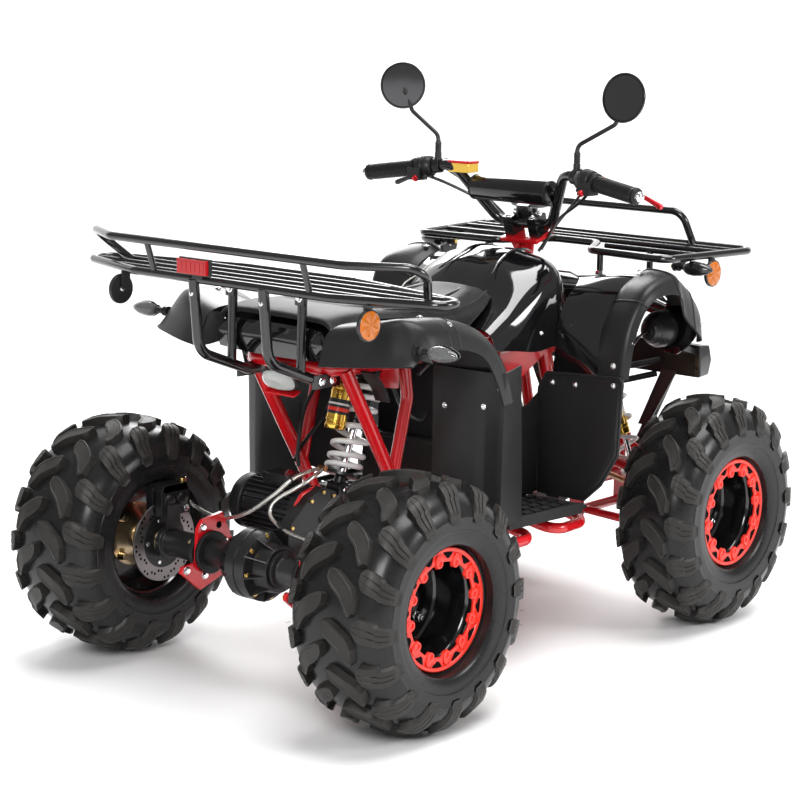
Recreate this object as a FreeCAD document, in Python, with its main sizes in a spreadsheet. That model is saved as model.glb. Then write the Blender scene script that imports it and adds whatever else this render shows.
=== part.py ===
import FreeCAD, Part
import math
import os

# Quad bike: four wheels, red tube frame, rear motor axle with one shock, straight handlebar steering.
# Millimetres. +X forward, +Y to the rider's left, +Z up. Lengths along X are counted from the rear
# axle and every piece is moved back by "middle", so the origin lies on the ground under the middle.

SIZES = {
    # wheels and tyres
    "wheelbase": 980, "rear_track": 748, "front_track": 716,
    "rear_tyre_radius": 235, "front_tyre_radius": 240,
    "rear_tyre_half_width": 112, "front_tyre_half_width": 91,
    "bead_radius": 114, "lug_depth": 15, "lug_pitches": 16,
    "rear_rim_half_width": 76, "front_rim_half_width": 64,
    "rim_wall": 5, "rim_plate_inset": 20, "ring_width": 29, "ring_height": 7,
    "hub_radius": 27, "bearing_radius": 15, "bearing_play": 0.05,
    "disc_thickness": 4, "rear_disc_radius": 92, "rear_disc_inset": 114, "front_disc_radius": 82,
    "front_disc_inset": 57,
    # frame tubes
    "frame_tube": 14, "frame_half_width": 120, "rail_height": 262, "rail_rear": 313, "rail_front": 1060,
    "front_half_width": 80, "deck_height": 612, "deck_rear": 84, "leg_top": 272, "foot_loop_reach": 325,
    "foot_loop_height": 238, "foot_rear": 540, "foot_front": 672,
    # steering
    "column_radius": 11, "column_foot_x": 950, "column_foot_z": 350, "column_head_x": 790,
    "column_head_z": 812, "bar_radius": 11, "bar_reach": 350, "bar_height": 915, "bar_end_x": 697,
    "clamp_height": 846, "grip_radius": 17, "grip_length": 120, "pad_radius": 26, "pad_half_length": 104,
    "mirror_radius": 50, "mirror_height": 1103, "mirror_reach": 291, "mirror_x": 735,
    "kingpin_reach": 276, "arm_tube": 9, "arm_root": 94, "arm_reach": 262, "tie_rod_radius": 6,
    # racks and bumper
    "rack_tube": 7, "rail_tube": 8, "rear_rack_height": 778, "rear_rack_reach": 452,
    "rear_rail_height": 842, "front_rack_height": 775, "front_rack_reach": 362, "hoop_height": 846,
    "bumper_x": 1096, "bumper_reach": 262, "bumper_height": 527,
    # drive
    "axle_tube": 34, "gear_case_radius": 68, "gear_case_half_width": 62, "motor_radius": 62,
    "motor_x": 118, "motor_z": 326, "motor_left": 150, "motor_right": -30,
    "shock_top_x": 318, "shock_top_z": 596, "shock_foot_x": 206, "shock_foot_z": 384,
    "spring_radius": 33, "spring_wire": 5.5, "spring_turns": 6,
    # bodywork
    "panel": 4, "seat_rear": 100, "seat_front": 585, "seat_half_width": 150, "seat_height": 722,
}

doc = FreeCAD.newDocument("quad_bike")
sheet = doc.addObject("Spreadsheet::Sheet", "Sizes")
for row, (word, number) in enumerate(SIZES.items(), 1):
    sheet.set(f"A{row}", word)
    sheet.set(f"B{row}", str(number))
    sheet.setAlias(f"B{row}", word)
doc.recompute()


class Size:
    """A length taken from the sheet, with the expression that binds a property to it."""

    def __init__(self, number, text):
        self.number = number
        self.text = text

    def join(self, other, sign, number):
        text = other.text if isinstance(other, Size) else str(other)
        return Size(number, f"({self.text} {sign} {text})")

    def __add__(self, other):
        return self.join(other, "+", self.number + num(other))

    def __sub__(self, other):
        return self.join(other, "-", self.number - num(other))

    def __mul__(self, other):
        return self.join(other, "*", self.number * num(other))

    def __truediv__(self, other):
        return self.join(other, "/", self.number / num(other))

    def __neg__(self):
        return self * -1

    def __radd__(self, other):
        return self + other

    def __rmul__(self, other):
        return self * other

    def __rsub__(self, other):
        return -self + other


def num(value):
    return value.number if isinstance(value, Size) else float(value)


def size(word):
    return Size(float(sheet.get(word)), f"Sizes.{word}")


def point(values):
    return FreeCAD.Vector(*[num(value) for value in values])


def bind(obj, name, value):
    """Give a property its value, by an expression where the value comes from the sheet."""
    if isinstance(value, Size):
        obj.setExpression(name, value.text)
    else:
        setattr(obj, name, value)


places = {}


def place(obj, at=(0, 0, 0), rotation=FreeCAD.Rotation()):
    """Put an object somewhere, with each coordinate bound to the sheet."""
    places[obj.Name] = (at, rotation)
    obj.Placement = FreeCAD.Placement(point(at), rotation)
    for letter, value in zip("xyz", at):
        if isinstance(value, Size):
            obj.setExpression(f"Placement.Base.{letter}", value.text)
    return obj


wheelbase = size("wheelbase")
middle = (wheelbase + size("front_tyre_radius") - size("rear_tyre_radius")) / 2
nodes = []


def node(name, obj, at=None):
    """Name a finished sub-part and move it from the rear axle's frame into the part's own."""
    known, rotation = places.get(obj.Name, ((0, 0, 0), FreeCAD.Rotation()))
    at = at or known
    place(obj, (at[0] - middle, at[1], at[2]), rotation)
    obj.Label = name
    nodes.append(obj)
    return obj


def mirrored(name, source, across=(0, 1, 0)):
    """The same sub-part on the other side of the vehicle."""
    obj = doc.addObject("Part::Mirroring", name)
    obj.Source = source
    obj.Base = FreeCAD.Vector(0, 0, 0)
    obj.Normal = FreeCAD.Vector(*across)
    obj.Label = name
    nodes.append(obj)
    return obj


def flipped(source):
    """A mirrored copy that still goes into another feature."""
    obj = doc.addObject("Part::Mirroring", source.Name + "_mirror")
    obj.Source = source
    obj.Normal = FreeCAD.Vector(0, 1, 0)
    return obj


def turn_about(letter, angle):
    return FreeCAD.Rotation(FreeCAD.Vector(*[float(letter == word) for word in "xyz"]), angle)


def box(name, sizes, at, rotation=FreeCAD.Rotation()):
    obj = doc.addObject("Part::Box", name)
    for word, value in zip(("Length", "Width", "Height"), sizes):
        bind(obj, word, value)
    return place(obj, at, rotation)


TURNS = {"x": turn_about("y", 90), "y": turn_about("x", -90), "z": FreeCAD.Rotation()}


def cylinder(name, radius, height, at, along="z"):
    obj = doc.addObject("Part::Cylinder", name)
    bind(obj, "Radius", radius)
    bind(obj, "Height", height)
    return place(obj, at, TURNS[along])


def fuse(name, shapes):
    obj = doc.addObject("Part::MultiFuse", name)
    obj.Shapes = shapes
    return obj


def cut(name, base, tool):
    obj = doc.addObject("Part::Cut", name)
    obj.Base = base
    obj.Tool = tool
    return obj


def path(points, bend, closed=False):
    """The corners of a line whose bends, all of one radius, are taken in a few short chords."""
    corners = [point(values) for values in points]
    count = len(corners)
    line = []
    for index, corner in enumerate(corners):
        if not closed and index in (0, count - 1):
            line.append(corner)
            continue
        back = corners[index - 1] - corner
        ahead = corners[(index + 1) % count] - corner
        turn = math.pi - back.getAngle(ahead)
        reach = bend * math.tan(turn / 2)
        start = corner + back.normalize() * reach
        end = corner + ahead.normalize() * reach
        centre = corner + (back + ahead).normalize() * (bend / math.cos(turn / 2))
        chords = max(1, round(turn / math.radians(32)))
        axis = (start - centre).cross(end - centre)
        for step in range(chords + 1):
            swing = FreeCAD.Rotation(axis, math.degrees(turn) * step / chords)
            line.append(centre + swing.multVec(start - centre))
    return line


def tube(name, points, radius, bend=30, closed=False, sides=6):
    """A tube or rod with narrow flats, swept along straight runs with mitred joints."""
    line = path(points, bend, closed)
    if closed:
        line.append((line[0] + line[-1]) / 2)
        line.insert(0, line[-1])
    spine = doc.addObject("Part::Feature", name + "_line")
    spine.Shape = Part.makePolygon(line)
    ring = doc.addObject("Part::RegularPolygon", name + "_section")
    ring.Polygon = sides
    bind(ring, "Circumradius", radius)
    ring.Placement = FreeCAD.Placement(line[0], FreeCAD.Rotation(FreeCAD.Vector(0, 0, 1), line[1] - line[0]))
    obj = doc.addObject("Part::Sweep", name)
    obj.Sections = [ring]
    obj.Spine = (spine, [f"Edge{index + 1}" for index in range(len(line) - 1)])
    obj.Solid = True
    obj.Frenet = False
    obj.Transition = "Right corner"
    return obj


def sheet_outline(corners, thickness):
    """A thin band along a plane line of corners (u, v): the line, and back along its inner side."""
    points = [(num(u), num(v)) for u, v in corners]
    inner = []
    for index, (u, v) in enumerate(points):
        before = points[max(index - 1, 0)]
        after = points[min(index + 1, len(points) - 1)]
        first = (u - before[0], v - before[1])
        second = (after[0] - u, after[1] - v)
        normals = []
        for du, dv in (first, second):
            length = math.hypot(du, dv)
            if length > 0:
                normals.append((dv / length, -du / length))
        nu = sum(n[0] for n in normals) / len(normals)
        nv = sum(n[1] for n in normals) / len(normals)
        scale = thickness / (nu * nu + nv * nv)
        inner.append((u + nu * scale, v + nv * scale))
    return points + inner[::-1]


def across(x, outline):
    """A cross-section at one x from (y, z) corners."""
    return [(x, u, v) for u, v in outline]


# Tyres: rings of flat facets, two to a pitch, whose raised cells are the lugs. The cell borders lean
# with the distance from the middle, so that the two rows of tread lugs make a chevron.

def tyre_lines(radius, half_width, rim_half_width):
    """Lines round one half of the tyre: (offset, lean in degrees, groove radius, lug radius)."""
    floor = radius - size("lug_depth").number
    edge = half_width - 14
    return [(4, 0, floor, radius), (half_width * 0.54, 10, floor - 1, radius - 2),
            (half_width * 0.61, 9, floor - 2, radius - 3), (edge, 13, floor - 12, radius - 13),
            (half_width, 15, floor - 30, radius - 32),
            (rim_half_width, 15, size("bead_radius").number, size("bead_radius").number)]


def facet(*corners):
    return Part.Face(Part.makePolygon(list(corners) + [corners[0]]))


def quad(faces, first, second, third, fourth):
    """Four corners as two flat triangles, since a leaning cell isn't flat."""
    faces.append(facet(first, second, third))
    faces.append(facet(first, third, fourth))


def tyre_shape(radius, half_width, rim_half_width):
    count = 2 * int(size("lug_pitches").number)
    lines = tyre_lines(radius, half_width, rim_half_width)
    faces = []

    def spot(index, line, side, raised):
        offset, lean, groove, crown = lines[line]
        turn = math.radians(360 / count * index + lean)
        reach = crown if raised else groove
        return FreeCAD.Vector(reach * math.cos(turn), side * offset, reach * math.sin(turn))

    for side in (1, -1):
        lugs = {0: 0, 2: 1, 3: 1}
        for index in range(count):
            ahead = index + 1
            parity = (index + (side < 0)) % 2
            for line in range(len(lines) - 1):
                raised = lugs.get(line) == parity
                quad(faces, *[spot(k, j, side, raised) for k, j in
                              ((index, line), (ahead, line), (ahead, line + 1), (index, line + 1))])
                if raised:
                    for k in (index, ahead):
                        quad(faces, spot(k, line, side, False), spot(k, line, side, True),
                             spot(k, line + 1, side, True), spot(k, line + 1, side, False))
                for end in (line, line + 1):
                    beside = line - 1 if end == line else line + 1
                    if raised and lugs.get(beside) != parity:
                        quad(faces, spot(index, end, side, False), spot(ahead, end, side, False),
                             spot(ahead, end, side, True), spot(index, end, side, True))
    last = len(lines) - 1
    for index in range(count):
        for line in (0, last):
            quad(faces, spot(index, line, 1, False), spot(index + 1, line, 1, False),
                 spot(index + 1, line, -1, False), spot(index, line, -1, False))
    solid = Part.Solid(Part.makeShell(faces))
    if solid.Volume < 0:
        solid.reverse()
    return solid


def tyre(name, radius, half_width, rim_half_width, at):
    obj = doc.addObject("Part::Feature", name)
    obj.Shape = tyre_shape(num(radius), num(half_width), num(rim_half_width))
    return node(name, obj, at)


def faceted(sides, corners, lean=0):
    """A ring or disc turned about Y with flat facets; corners are (radius, y) round its section."""
    step = 2 * math.pi / sides
    start = math.radians(lean)

    def ring(radius, offset):
        if num(radius) == 0:
            return [FreeCAD.Vector(0, num(offset), 0)] * sides
        return [FreeCAD.Vector(num(radius) * math.cos(step * i + start), num(offset),
                               num(radius) * math.sin(step * i + start)) for i in range(sides)]

    rings = [ring(radius, offset) for radius, offset in corners]
    faces = []
    for first, following in zip(rings, rings[1:] + rings[:1]):
        for i in range(sides):
            j = (i + 1) % sides
            corners = []
            for spot in (first[i], first[j], following[j], following[i]):
                if not corners or all((spot - other).Length > 1e-6 for other in corners):
                    corners.append(spot)
            if len(corners) > 2:
                faces.append(facet(*corners))
    solid = Part.Solid(Part.makeShell(faces))
    if solid.Volume < 0:
        solid.reverse()
    return solid


def between(shape, start, end):
    """Move a shape made along Y from the origin so that it runs from one point towards another."""
    run = point(end) - point(start)
    shape.Placement = FreeCAD.Placement(point(start), FreeCAD.Rotation(FreeCAD.Vector(0, 1, 0), run))
    return shape


def heights(shape, x, y):
    line = Part.makeLine(FreeCAD.Vector(x, y, 0), FreeCAD.Vector(x, y, 2000))
    return [vertex.Z for vertex in shape.common(line).Vertexes]


def underside(shape, x, y):
    """The height of a panel's lower face over one spot."""
    return min(heights(shape, x, y))


def topside(shape, x, y):
    return max(heights(shape, x, y))


def hexagon(radius):
    """The corners of an upright bar with six flats."""
    return [(radius * math.cos(math.pi / 3 * i), radius * math.sin(math.pi / 3 * i)) for i in range(6)]


def nearest_behind(shape, y, levels):
    """How far back a shape reaches on one line along X, over several heights."""
    found = []
    for z in levels:
        line = Part.makeLine(FreeCAD.Vector(-500, y, z), FreeCAD.Vector(1500, y, z))
        found += [vertex.X for vertex in shape.common(line).Vertexes]
    return min(found)


def outermost(shape, spots):
    """How far a shape reaches to the left over several spots (x, z)."""
    found = []
    for x, z in spots:
        line = Part.makeLine(FreeCAD.Vector(x, 0, z), FreeCAD.Vector(x, 900, z))
        found += [vertex.Y for vertex in shape.common(line).Vertexes]
    return max(found)


def skinned(sections):
    """A solid with flat faces between closed outlines of equal corner count, capped at both ends."""
    rings = [[point(corner) for corner in section] for section in sections]
    sides = len(rings[0])
    faces = [facet(*rings[0]), facet(*rings[-1])]
    for first, following in zip(rings, rings[1:]):
        for i in range(sides):
            j = (i + 1) % sides
            quad(faces, first[i], first[j], following[j], following[i])
    solid = Part.Solid(Part.makeShell(faces))
    if solid.Volume < 0:
        solid.reverse()
    return solid


def panel(sections, thickness=None):
    """A thin panel from (x, corners) sections, its corners running outwards along the outer side."""
    depth = num(thickness or size("panel"))
    return skinned([across(x, sheet_outline(corners, depth)) for x, corners in sections])


def shell(rows, thickness=None):
    """A thin panel under rows of corners on its outer face; rows run forwards, corners outwards."""
    depth = num(thickness or size("panel"))
    outer = [[point(corner) for corner in row] for row in rows]
    last_row = len(outer) - 1
    last = len(outer[0]) - 1
    inner = []
    for i, row in enumerate(outer):
        inner.append([])
        for j, spot in enumerate(row):
            ahead = outer[min(i + 1, last_row)][j] - outer[max(i - 1, 0)][j]
            beside = row[min(j + 1, last)] - row[max(j - 1, 0)]
            inner[i].append(spot - ahead.cross(beside).normalize() * depth)
    faces = []
    for i in range(last_row):
        for j in range(last):
            for grid in (outer, inner):
                quad(faces, grid[i][j], grid[i + 1][j], grid[i + 1][j + 1], grid[i][j + 1])
        for j in (0, last):
            quad(faces, outer[i][j], outer[i + 1][j], inner[i + 1][j], inner[i][j])
    for j in range(last):
        for i in (0, last_row):
            quad(faces, outer[i][j], outer[i][j + 1], inner[i][j + 1], inner[i][j])
    solid = Part.Solid(Part.makeShell(faces))
    if solid.Volume < 0:
        solid.reverse()
    return solid


def coil(radius, wire, length, turns, steps=7, sides=4):
    """A spring wound about Y, with flats, from y = 0 to its length."""
    sections = []
    for k in range(int(steps * turns) + 1):
        angle = 2 * math.pi * k / steps
        y = wire + (length - 2 * wire) * k / (steps * turns)
        section = []
        for corner in range(sides):
            turn = 2 * math.pi * corner / sides
            reach = radius + wire * math.cos(turn)
            section.append(FreeCAD.Vector(reach * math.cos(angle), y + wire * math.sin(turn),
                                          reach * math.sin(angle)))
        sections.append(section)
    return skinned(sections)


def stud(radius, length, start, direction=(0, 1, 0), sides=8):
    """A short rod or boss with flats, standing on one point."""
    start = point(start)
    heading = point(direction).normalize()
    turn = FreeCAD.Rotation(FreeCAD.Vector(0, 0, 1), heading)
    corners = []
    for i in range(sides):
        angle = 2 * math.pi * (i + 0.5) / sides
        corners.append(start + turn.multVec(FreeCAD.Vector(math.cos(angle), math.sin(angle), 0)) * num(radius))
    return facet(*corners).extrude(heading * num(length))


def joined(first, others):
    """Several shapes as one solid, which fails where one of them stands apart."""
    solids = first.fuse(others).Solids
    if len(solids) != 1:
        raise RuntimeError(f"{len(solids)} solids where one was meant")
    return solids[0]


def plain(name, shape):
    """A feature holding a computed shape, with the shape's own move worked into its geometry."""
    obj = doc.addObject("Part::Feature", name)
    move = shape.Placement.toMatrix()
    shape = shape.copy()
    shape.Placement = FreeCAD.Placement()
    shape.transformShape(move, True)
    obj.Shape = shape
    return obj


# Wheels, one set for each corner

FACETS = 2 * int(SIZES["lug_pitches"])
RIM_LEAN = 15
bead = size("bead_radius")
wall = size("rim_wall")
inset = size("rim_plate_inset")
bore = size("bearing_radius")
play = size("bearing_play")


def rim_shape(half):
    barrel = bead - wall
    eye = bore + play + 0.15
    corners = [(eye, -inset - wall), (eye, -inset), (barrel, -inset), (barrel, half),
               (bead, half), (bead, -half), (barrel, -half), (barrel, -inset - wall)]
    return faceted(FACETS, corners, RIM_LEAN)


def ring_shape(half):
    """The bead ring: a flat ring bolted on the rim's outer edge."""
    outer = bead - 1
    inner = outer - size("ring_width")
    top = half + size("ring_height")
    return faceted(FACETS, [(inner, half), (inner, top), (outer, top), (outer, half)], RIM_LEAN)


def hub_shape(disc_radius, disc_inset, inner_end, shaft_end):
    """A hub with its brake disc, and behind it the axle shaft where it drives."""
    hub = size("hub_radius")
    disc_front = -disc_inset + size("disc_thickness")
    corners = [(bore - 2, inner_end), (hub, inner_end), (hub, -disc_inset), (disc_radius, -disc_inset),
               (disc_radius, disc_front), (hub, disc_front), (hub, -inset - wall), (bore - 2, -inset - wall)]
    body = faceted(16, corners)
    if shaft_end is None:
        tool = Part.makeCylinder(num(bore + play), 400, FreeCAD.Vector(0, -200, 0), FreeCAD.Vector(0, 1, 0))
        return body.cut(tool).Solids[0]
    shaft = Part.makeCylinder(num(bore), num(-shaft_end + 30), point((0, shaft_end, 0)),
                              FreeCAD.Vector(0, 1, 0))
    return joined(body, [shaft])


rear_z = size("rear_tyre_radius")
front_z = size("front_tyre_radius")
rear_y = size("rear_track") / 2
front_y = size("front_track") / 2
rear_half = size("rear_rim_half_width")
front_half = size("front_rim_half_width")
housing_end = 252
WHEELS = {
    "rear": ((0, rear_y, rear_z), size("rear_tyre_radius"), size("rear_tyre_half_width"), rear_half,
             (size("rear_disc_radius"), size("rear_disc_inset"), -120, -rear_y + 190)),
    "front": ((wheelbase, front_y, front_z), size("front_tyre_radius"), size("front_tyre_half_width"),
              front_half, (size("front_disc_radius"), size("front_disc_inset"), -62, None)),
}
for end, (spot, radius, half_width, rim_half, hub_sizes) in WHEELS.items():
    left = tyre(f"tyre_{end}_left", radius, half_width, rim_half, spot)
    mirrored(f"tyre_{end}_right", left)
    left = node(f"rim_{end}_left", plain(f"rim_{end}_left", rim_shape(rim_half)), spot)
    mirrored(f"rim_{end}_right", left)
    left = node(f"bead_ring_{end}_left", plain(f"bead_ring_{end}_left", ring_shape(rim_half)), spot)
    mirrored(f"bead_ring_{end}_right", left)
    left = node(f"hub_{end}_left", plain(f"hub_{end}_left", hub_shape(*hub_sizes)), spot)
    mirrored(f"hub_{end}_right", left)


# Frame: bent deck tube with sloping rear legs, lower rails, foot loops and the steering head posts

frame_r = size("frame_tube")
side = size("frame_half_width")
front_side = size("front_half_width")
deck = size("deck_height")
rail = size("rail_height")
rail_rear = size("rail_rear")
rail_front = size("rail_front")
leg_top = size("leg_top")
head_x = size("column_head_x")


def both(obj):
    return [obj, flipped(obj)]


def straight(name, start, end, radius, round_bar=False):
    """A straight bar between two points, with six flats or round."""
    low = point(start)
    run = point(end) - low
    if round_bar:
        obj = doc.addObject("Part::Cylinder", name)
        bind(obj, "Radius", radius)
    else:
        obj = doc.addObject("Part::Prism", name)
        obj.Polygon = 6
        bind(obj, "Circumradius", radius)
    obj.Height = run.Length
    obj.Placement = FreeCAD.Placement(low, FreeCAD.Rotation(FreeCAD.Vector(0, 0, 1), run))
    return obj


loop_z = size("foot_loop_height")
loop_y = size("foot_loop_reach")
foot_rear = size("foot_rear")
foot_front = size("foot_front")
frame_parts = [tube("deck_tube", [(head_x - 40, 52, deck + 96), (560, side, deck), (size("deck_rear"), side, deck),
                                  (size("deck_rear"), -side, deck), (560, -side, deck),
                                  (head_x - 40, -52, deck + 96)], frame_r, 42)]
frame_parts += both(tube("lower_rail", [(rail_rear, side, rail), (700, side, rail), (860, front_side, rail),
                                        (rail_front, front_side, rail)], frame_r, 60))
frame_parts += both(straight("rear_leg", (rail_rear, side, rail), (104, side, deck), frame_r))
frame_parts += both(tube("bent_leg", [(leg_top, side, deck), (leg_top + 12, side, deck - 77),
                                      (245, side, 385)], frame_r * 0.86, 40))
frame_parts += both(straight("front_post", (head_x - 40, 52, deck + 96), (862, front_side, rail), frame_r))
frame_parts += both(tube("foot_loop", [(foot_rear, side, rail), (foot_rear, loop_y, loop_z),
                                       (foot_front, loop_y, loop_z), (foot_front, side, rail)],
                         frame_r * 0.8, 38))
for name, x, z, half in (("low_cross", rail_rear, rail, side), ("front_cross", rail_front, rail, front_side),
                         ("deck_cross", 352, deck, side), ("tower_cross", 905, 560, 90),
                         ("pivot_cross", 344.3, 300, 92)):
    frame_parts.append(straight(name, (x, -half, z), (x, half, z), frame_r))
arm_y = size("arm_root")
frame_parts += both(straight("upper_rail", (842, 66, 340), (rail_front, 66, 340), frame_r * 0.86))
frame_parts += both(straight("front_upright", (rail_front, front_side, rail), (rail_front, front_side - 8, 346),
                             frame_r))
frame_parts += both(straight("tower", (930, 66, 340), (905, 90, 560), frame_r * 0.86))
frame_parts += both(straight("pivot_hanger", (344.3, 92, 300), (322, side, rail), frame_r * 0.8))
for x in (884.7, 1047.3):
    frame_parts += both(box("lower_ear", (8, 34, 70), (x, 72, 192)))
    frame_parts += both(box("upper_ear", (8, 50, 28), (x, 60, 327)))
frame_parts += both(box("tower_ear", (10, 40, 26), (907.7, 80, 545)))
frame_parts += both(box("shock_ear", (46, 6, 32), (308, 18.3, 584)))
frame_parts += [box(f"tray_bar_{x}", (24, side * 2, 10), (x, -side, 266)) for x in (430, 610)]

# Steering column: a straight bar through the front frame, with the red clamp bracket on its head

foot = (size("column_foot_x"), 0, size("column_foot_z"))
head = (head_x, 0, size("column_head_z"))
lean = point(head) - point(foot)
column_axis = FreeCAD.Rotation(FreeCAD.Vector(0, 0, 1), lean)


def on_column(along, ahead=0, side_y=0):
    """A point given from the column's head, along it and ahead of it."""
    return point(head) + column_axis.multVec(FreeCAD.Vector(ahead, side_y, along))


bar_r = size("bar_radius")
clamp_z = size("clamp_height")
bracket = box("head_plate", (62, 96, 8), on_column(0, -22, -48), column_axis)
pitman = box("pitman_arm", (70, 40, 8), on_column(-lean.Length, -56, -20), column_axis)
clamps = [box(name, (38, 24, 44), on_column(6, -8, y), column_axis)
          for name, y in (("clamp_left", 20), ("clamp_right", -44))]
column = straight("column_bar", foot, head, size("column_radius"), True)
bar_hole = straight("bar_hole", (head_x + 2, -60, clamp_z), (head_x + 2, 60, clamp_z), bar_r, True)
column_solid = cut("column_cut", fuse("column_fuse", [column, bracket, pitman] + clamps), bar_hole)
node("steering_column", column_solid)

bar_x = head_x + 2
bar_y = size("bar_reach")
bar_z = size("bar_height")
end_x = size("bar_end_x")
bend_spot = (732, 147, 944)
rise_spot = (bar_x, 72, clamp_z)
handle = tube("bar_tube", [(end_x, bar_y, bar_z), bend_spot, rise_spot, (bar_x, -72, clamp_z), (732, -147, 944),
                           (end_x, -bar_y, bar_z)], bar_r, 24, sides=8)
pad_x = 752
pad_z = 904
pad_half = size("pad_half_length")
cross = straight("cross_bar", (pad_x, -pad_half - 6, pad_z), (pad_x, pad_half + 6, pad_z), bar_r * 0.6)
bar_seat = straight("bar_seat", (bar_x, -18, clamp_z), (bar_x, 18, clamp_z), bar_r, True)
node("handlebar", fuse("handlebar_solid", [handle, cross, bar_seat]))
notch = both(straight("pad_notch", rise_spot, bend_spot, bar_r + 3))
core = straight("pad_core", (pad_x, -160, pad_z), (pad_x, 160, pad_z), bar_r * 0.6 + 0.4)
pad = plain("pad", stud(size("pad_radius"), pad_half * 2, (pad_x, -pad_half, pad_z), sides=14))
node("bar_pad", cut("pad_cut", pad, fuse("pad_holes", notch + [core])))
dash = box("dash", (66, 100, 14), (799, -50, 878), turn_about("y", -14))
stem = box("dash_stem", (10, 30, 60), on_column(8.3, 27, -15), column_axis)
node("display", fuse("display_solid", [dash, stem]))


# Hand controls: everything that sits round the bar is given by its distance from the bar's end

bar_end = point((end_x, bar_y, bar_z))
bar_run = (point(bend_spot) - bar_end).normalize()
grip_r = size("grip_radius")
grip_length = size("grip_length")


def on_bar(distance):
    return bar_end + bar_run * num(distance)


def collar(radius, start, length):
    """A sleeve on the bar."""
    body = stud(radius, length, on_bar(start), bar_run, 12)
    hole = stud(bar_r + 1, num(length) + 20, on_bar(start - 5), bar_run)
    return body.cut(hole).Solids[0]


grip = Part.makeCylinder(num(grip_r), num(grip_length) + 6, on_bar(-6), bar_run)
grip = grip.cut(stud(bar_r + 1, num(grip_length) + 26, on_bar(0), bar_run)).Solids[0]
node("grips", fuse("grip_pair", both(plain("grip", grip))))
switch = collar(grip_r + 5, grip_length + 2, 38)
perch = collar(grip_r - 1, grip_length + 43, 16)
perch_spot = on_bar(grip_length + 51)
reservoir = Part.makeBox(34, 50, 26, perch_spot + FreeCAD.Vector(8, -44, 12))
link = Part.makeBox(20, 14, 16, perch_spot + FreeCAD.Vector(11, -8, -6))
perch = joined(perch, [reservoir, link]).cut(
    stud(bar_r + 1, 60, on_bar(grip_length + 30), bar_run)).Solids[0]
controls = [plain("switch", switch), plain("perch", perch)]
node("controls", fuse("control_set", [shape for obj in controls for shape in both(obj)]))
lever_root = perch_spot + FreeCAD.Vector(35.9, 4, 2)
lever = tube("lever", [lever_root, (792, 245, 922), (786, bar_y + 4, 886)], 5, 30, sides=6)
node("levers", fuse("lever_pair", both(lever)))

mirror_spot = (size("mirror_x"), size("mirror_reach"), size("mirror_height"))
stalk_foot = perch_spot + FreeCAD.Vector(0, 0, 17)
stalk = tube("mirror_stalk", [stalk_foot, stalk_foot + FreeCAD.Vector(0, 0, 44), (738, 262, 1066),
                              (mirror_spot[0], mirror_spot[1], mirror_spot[2])], 5, 18, sides=6)
glass = plain("mirror_head", between(faceted(18, [(0, -7), (size("mirror_radius") - 5, -7),
                                                 (size("mirror_radius"), -3), (size("mirror_radius"), 3),
                                                 (24, 8), (0, 8)]),
                                     mirror_spot, (mirror_spot[0] + 100, mirror_spot[1] - 10, mirror_spot[2])))
mirror = fuse("mirror", [stalk, glass])
node("mirrors", fuse("mirror_pair", both(mirror)))

# Front suspension and steering links

king_y = size("kingpin_reach")
arm_r = size("arm_tube")
reach = size("arm_reach")
arms = []
for name, z0, z1 in (("lower", 205, 196), ("upper", 340, 300)):
    bend_z = z0 + (z1 - z0) * 0.66
    arms += [straight(name + "_pivot", (893, arm_y, z0), (1047, arm_y, z0), arm_r + 2),
             tube(name + "_rear", [(908, arm_y, z0), (910, 206, bend_z), (wheelbase - 4, reach, z1)], arm_r, 30),
             tube(name + "_front", [(1032, arm_y, z0), (1034, 206, bend_z), (wheelbase + 4, reach, z1)], arm_r, 30),
             straight(name + "_ball", (wheelbase, reach, z1 - 9), (wheelbase, reach, z1 + 9), 12)]
shock_foot_y = 204
shock_bar = straight("shock_bar", (912, shock_foot_y, 200), (1032, shock_foot_y, 200), arm_r)
arm_set = [fuse("lower_arm", arms[:4] + [shock_bar]), fuse("upper_arm", arms[4:])]
node("front_arms", fuse("arm_pair", [shape for obj in arm_set for shape in both(obj)]))

upright = Part.makeBox(30, 22, 84, FreeCAD.Vector(num(wheelbase) - 15, num(king_y) - 8, 207))
ears = [Part.makeCylinder(9, 12, point((wheelbase, reach, z))) for z in (206, 278)]
king = Part.makeBox(24, 22, 10, FreeCAD.Vector(num(wheelbase) - 12, num(reach) - 4, 207))
king_top = Part.makeBox(24, 22, 10, FreeCAD.Vector(num(wheelbase) - 12, num(reach) - 4, 279))
spindle = Part.makeCylinder(num(bore), 62, FreeCAD.Vector(num(wheelbase), num(king_y) + 12, num(front_z)),
                            FreeCAD.Vector(0, 1, 0))
arm = Part.makeBox(80, 14, 12, FreeCAD.Vector(900, 261, 250))
knuckle = joined(upright, [king, king_top, spindle, arm] + ears)
left_knuckle = node("knuckle_left", plain("knuckle", knuckle))
mirrored("knuckle_right", left_knuckle)

rod_r = size("tie_rod_radius")
eye = straight("rod_eye", (912, 268, 262.3), (912, 268, 276), 10, True)
rod = fuse("rod", [straight("rod_bar", (912, 268, 269), (904, 14, 322), rod_r), eye])
left_rod = node("tie_rod_left", rod)
mirrored("tie_rod_right", left_rod)

# Dampers: a closed body turned about its own line, with the coil spring round it

def damper(length, seat, body, rod_radius, eye):
    start = eye - 1
    return faceted(12, [(0, start), (eye - 5, start), (rod_radius + 3, 26), (seat, 26), (seat, 33), (rod_radius, 33),
                        (rod_radius, length * 0.46), (body, length * 0.5), (body, length - 48),
                        (seat, length - 44), (seat, length - 34), (body, length - 28), (eye - 3, length - start),
                        (0, length - start)])


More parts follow.
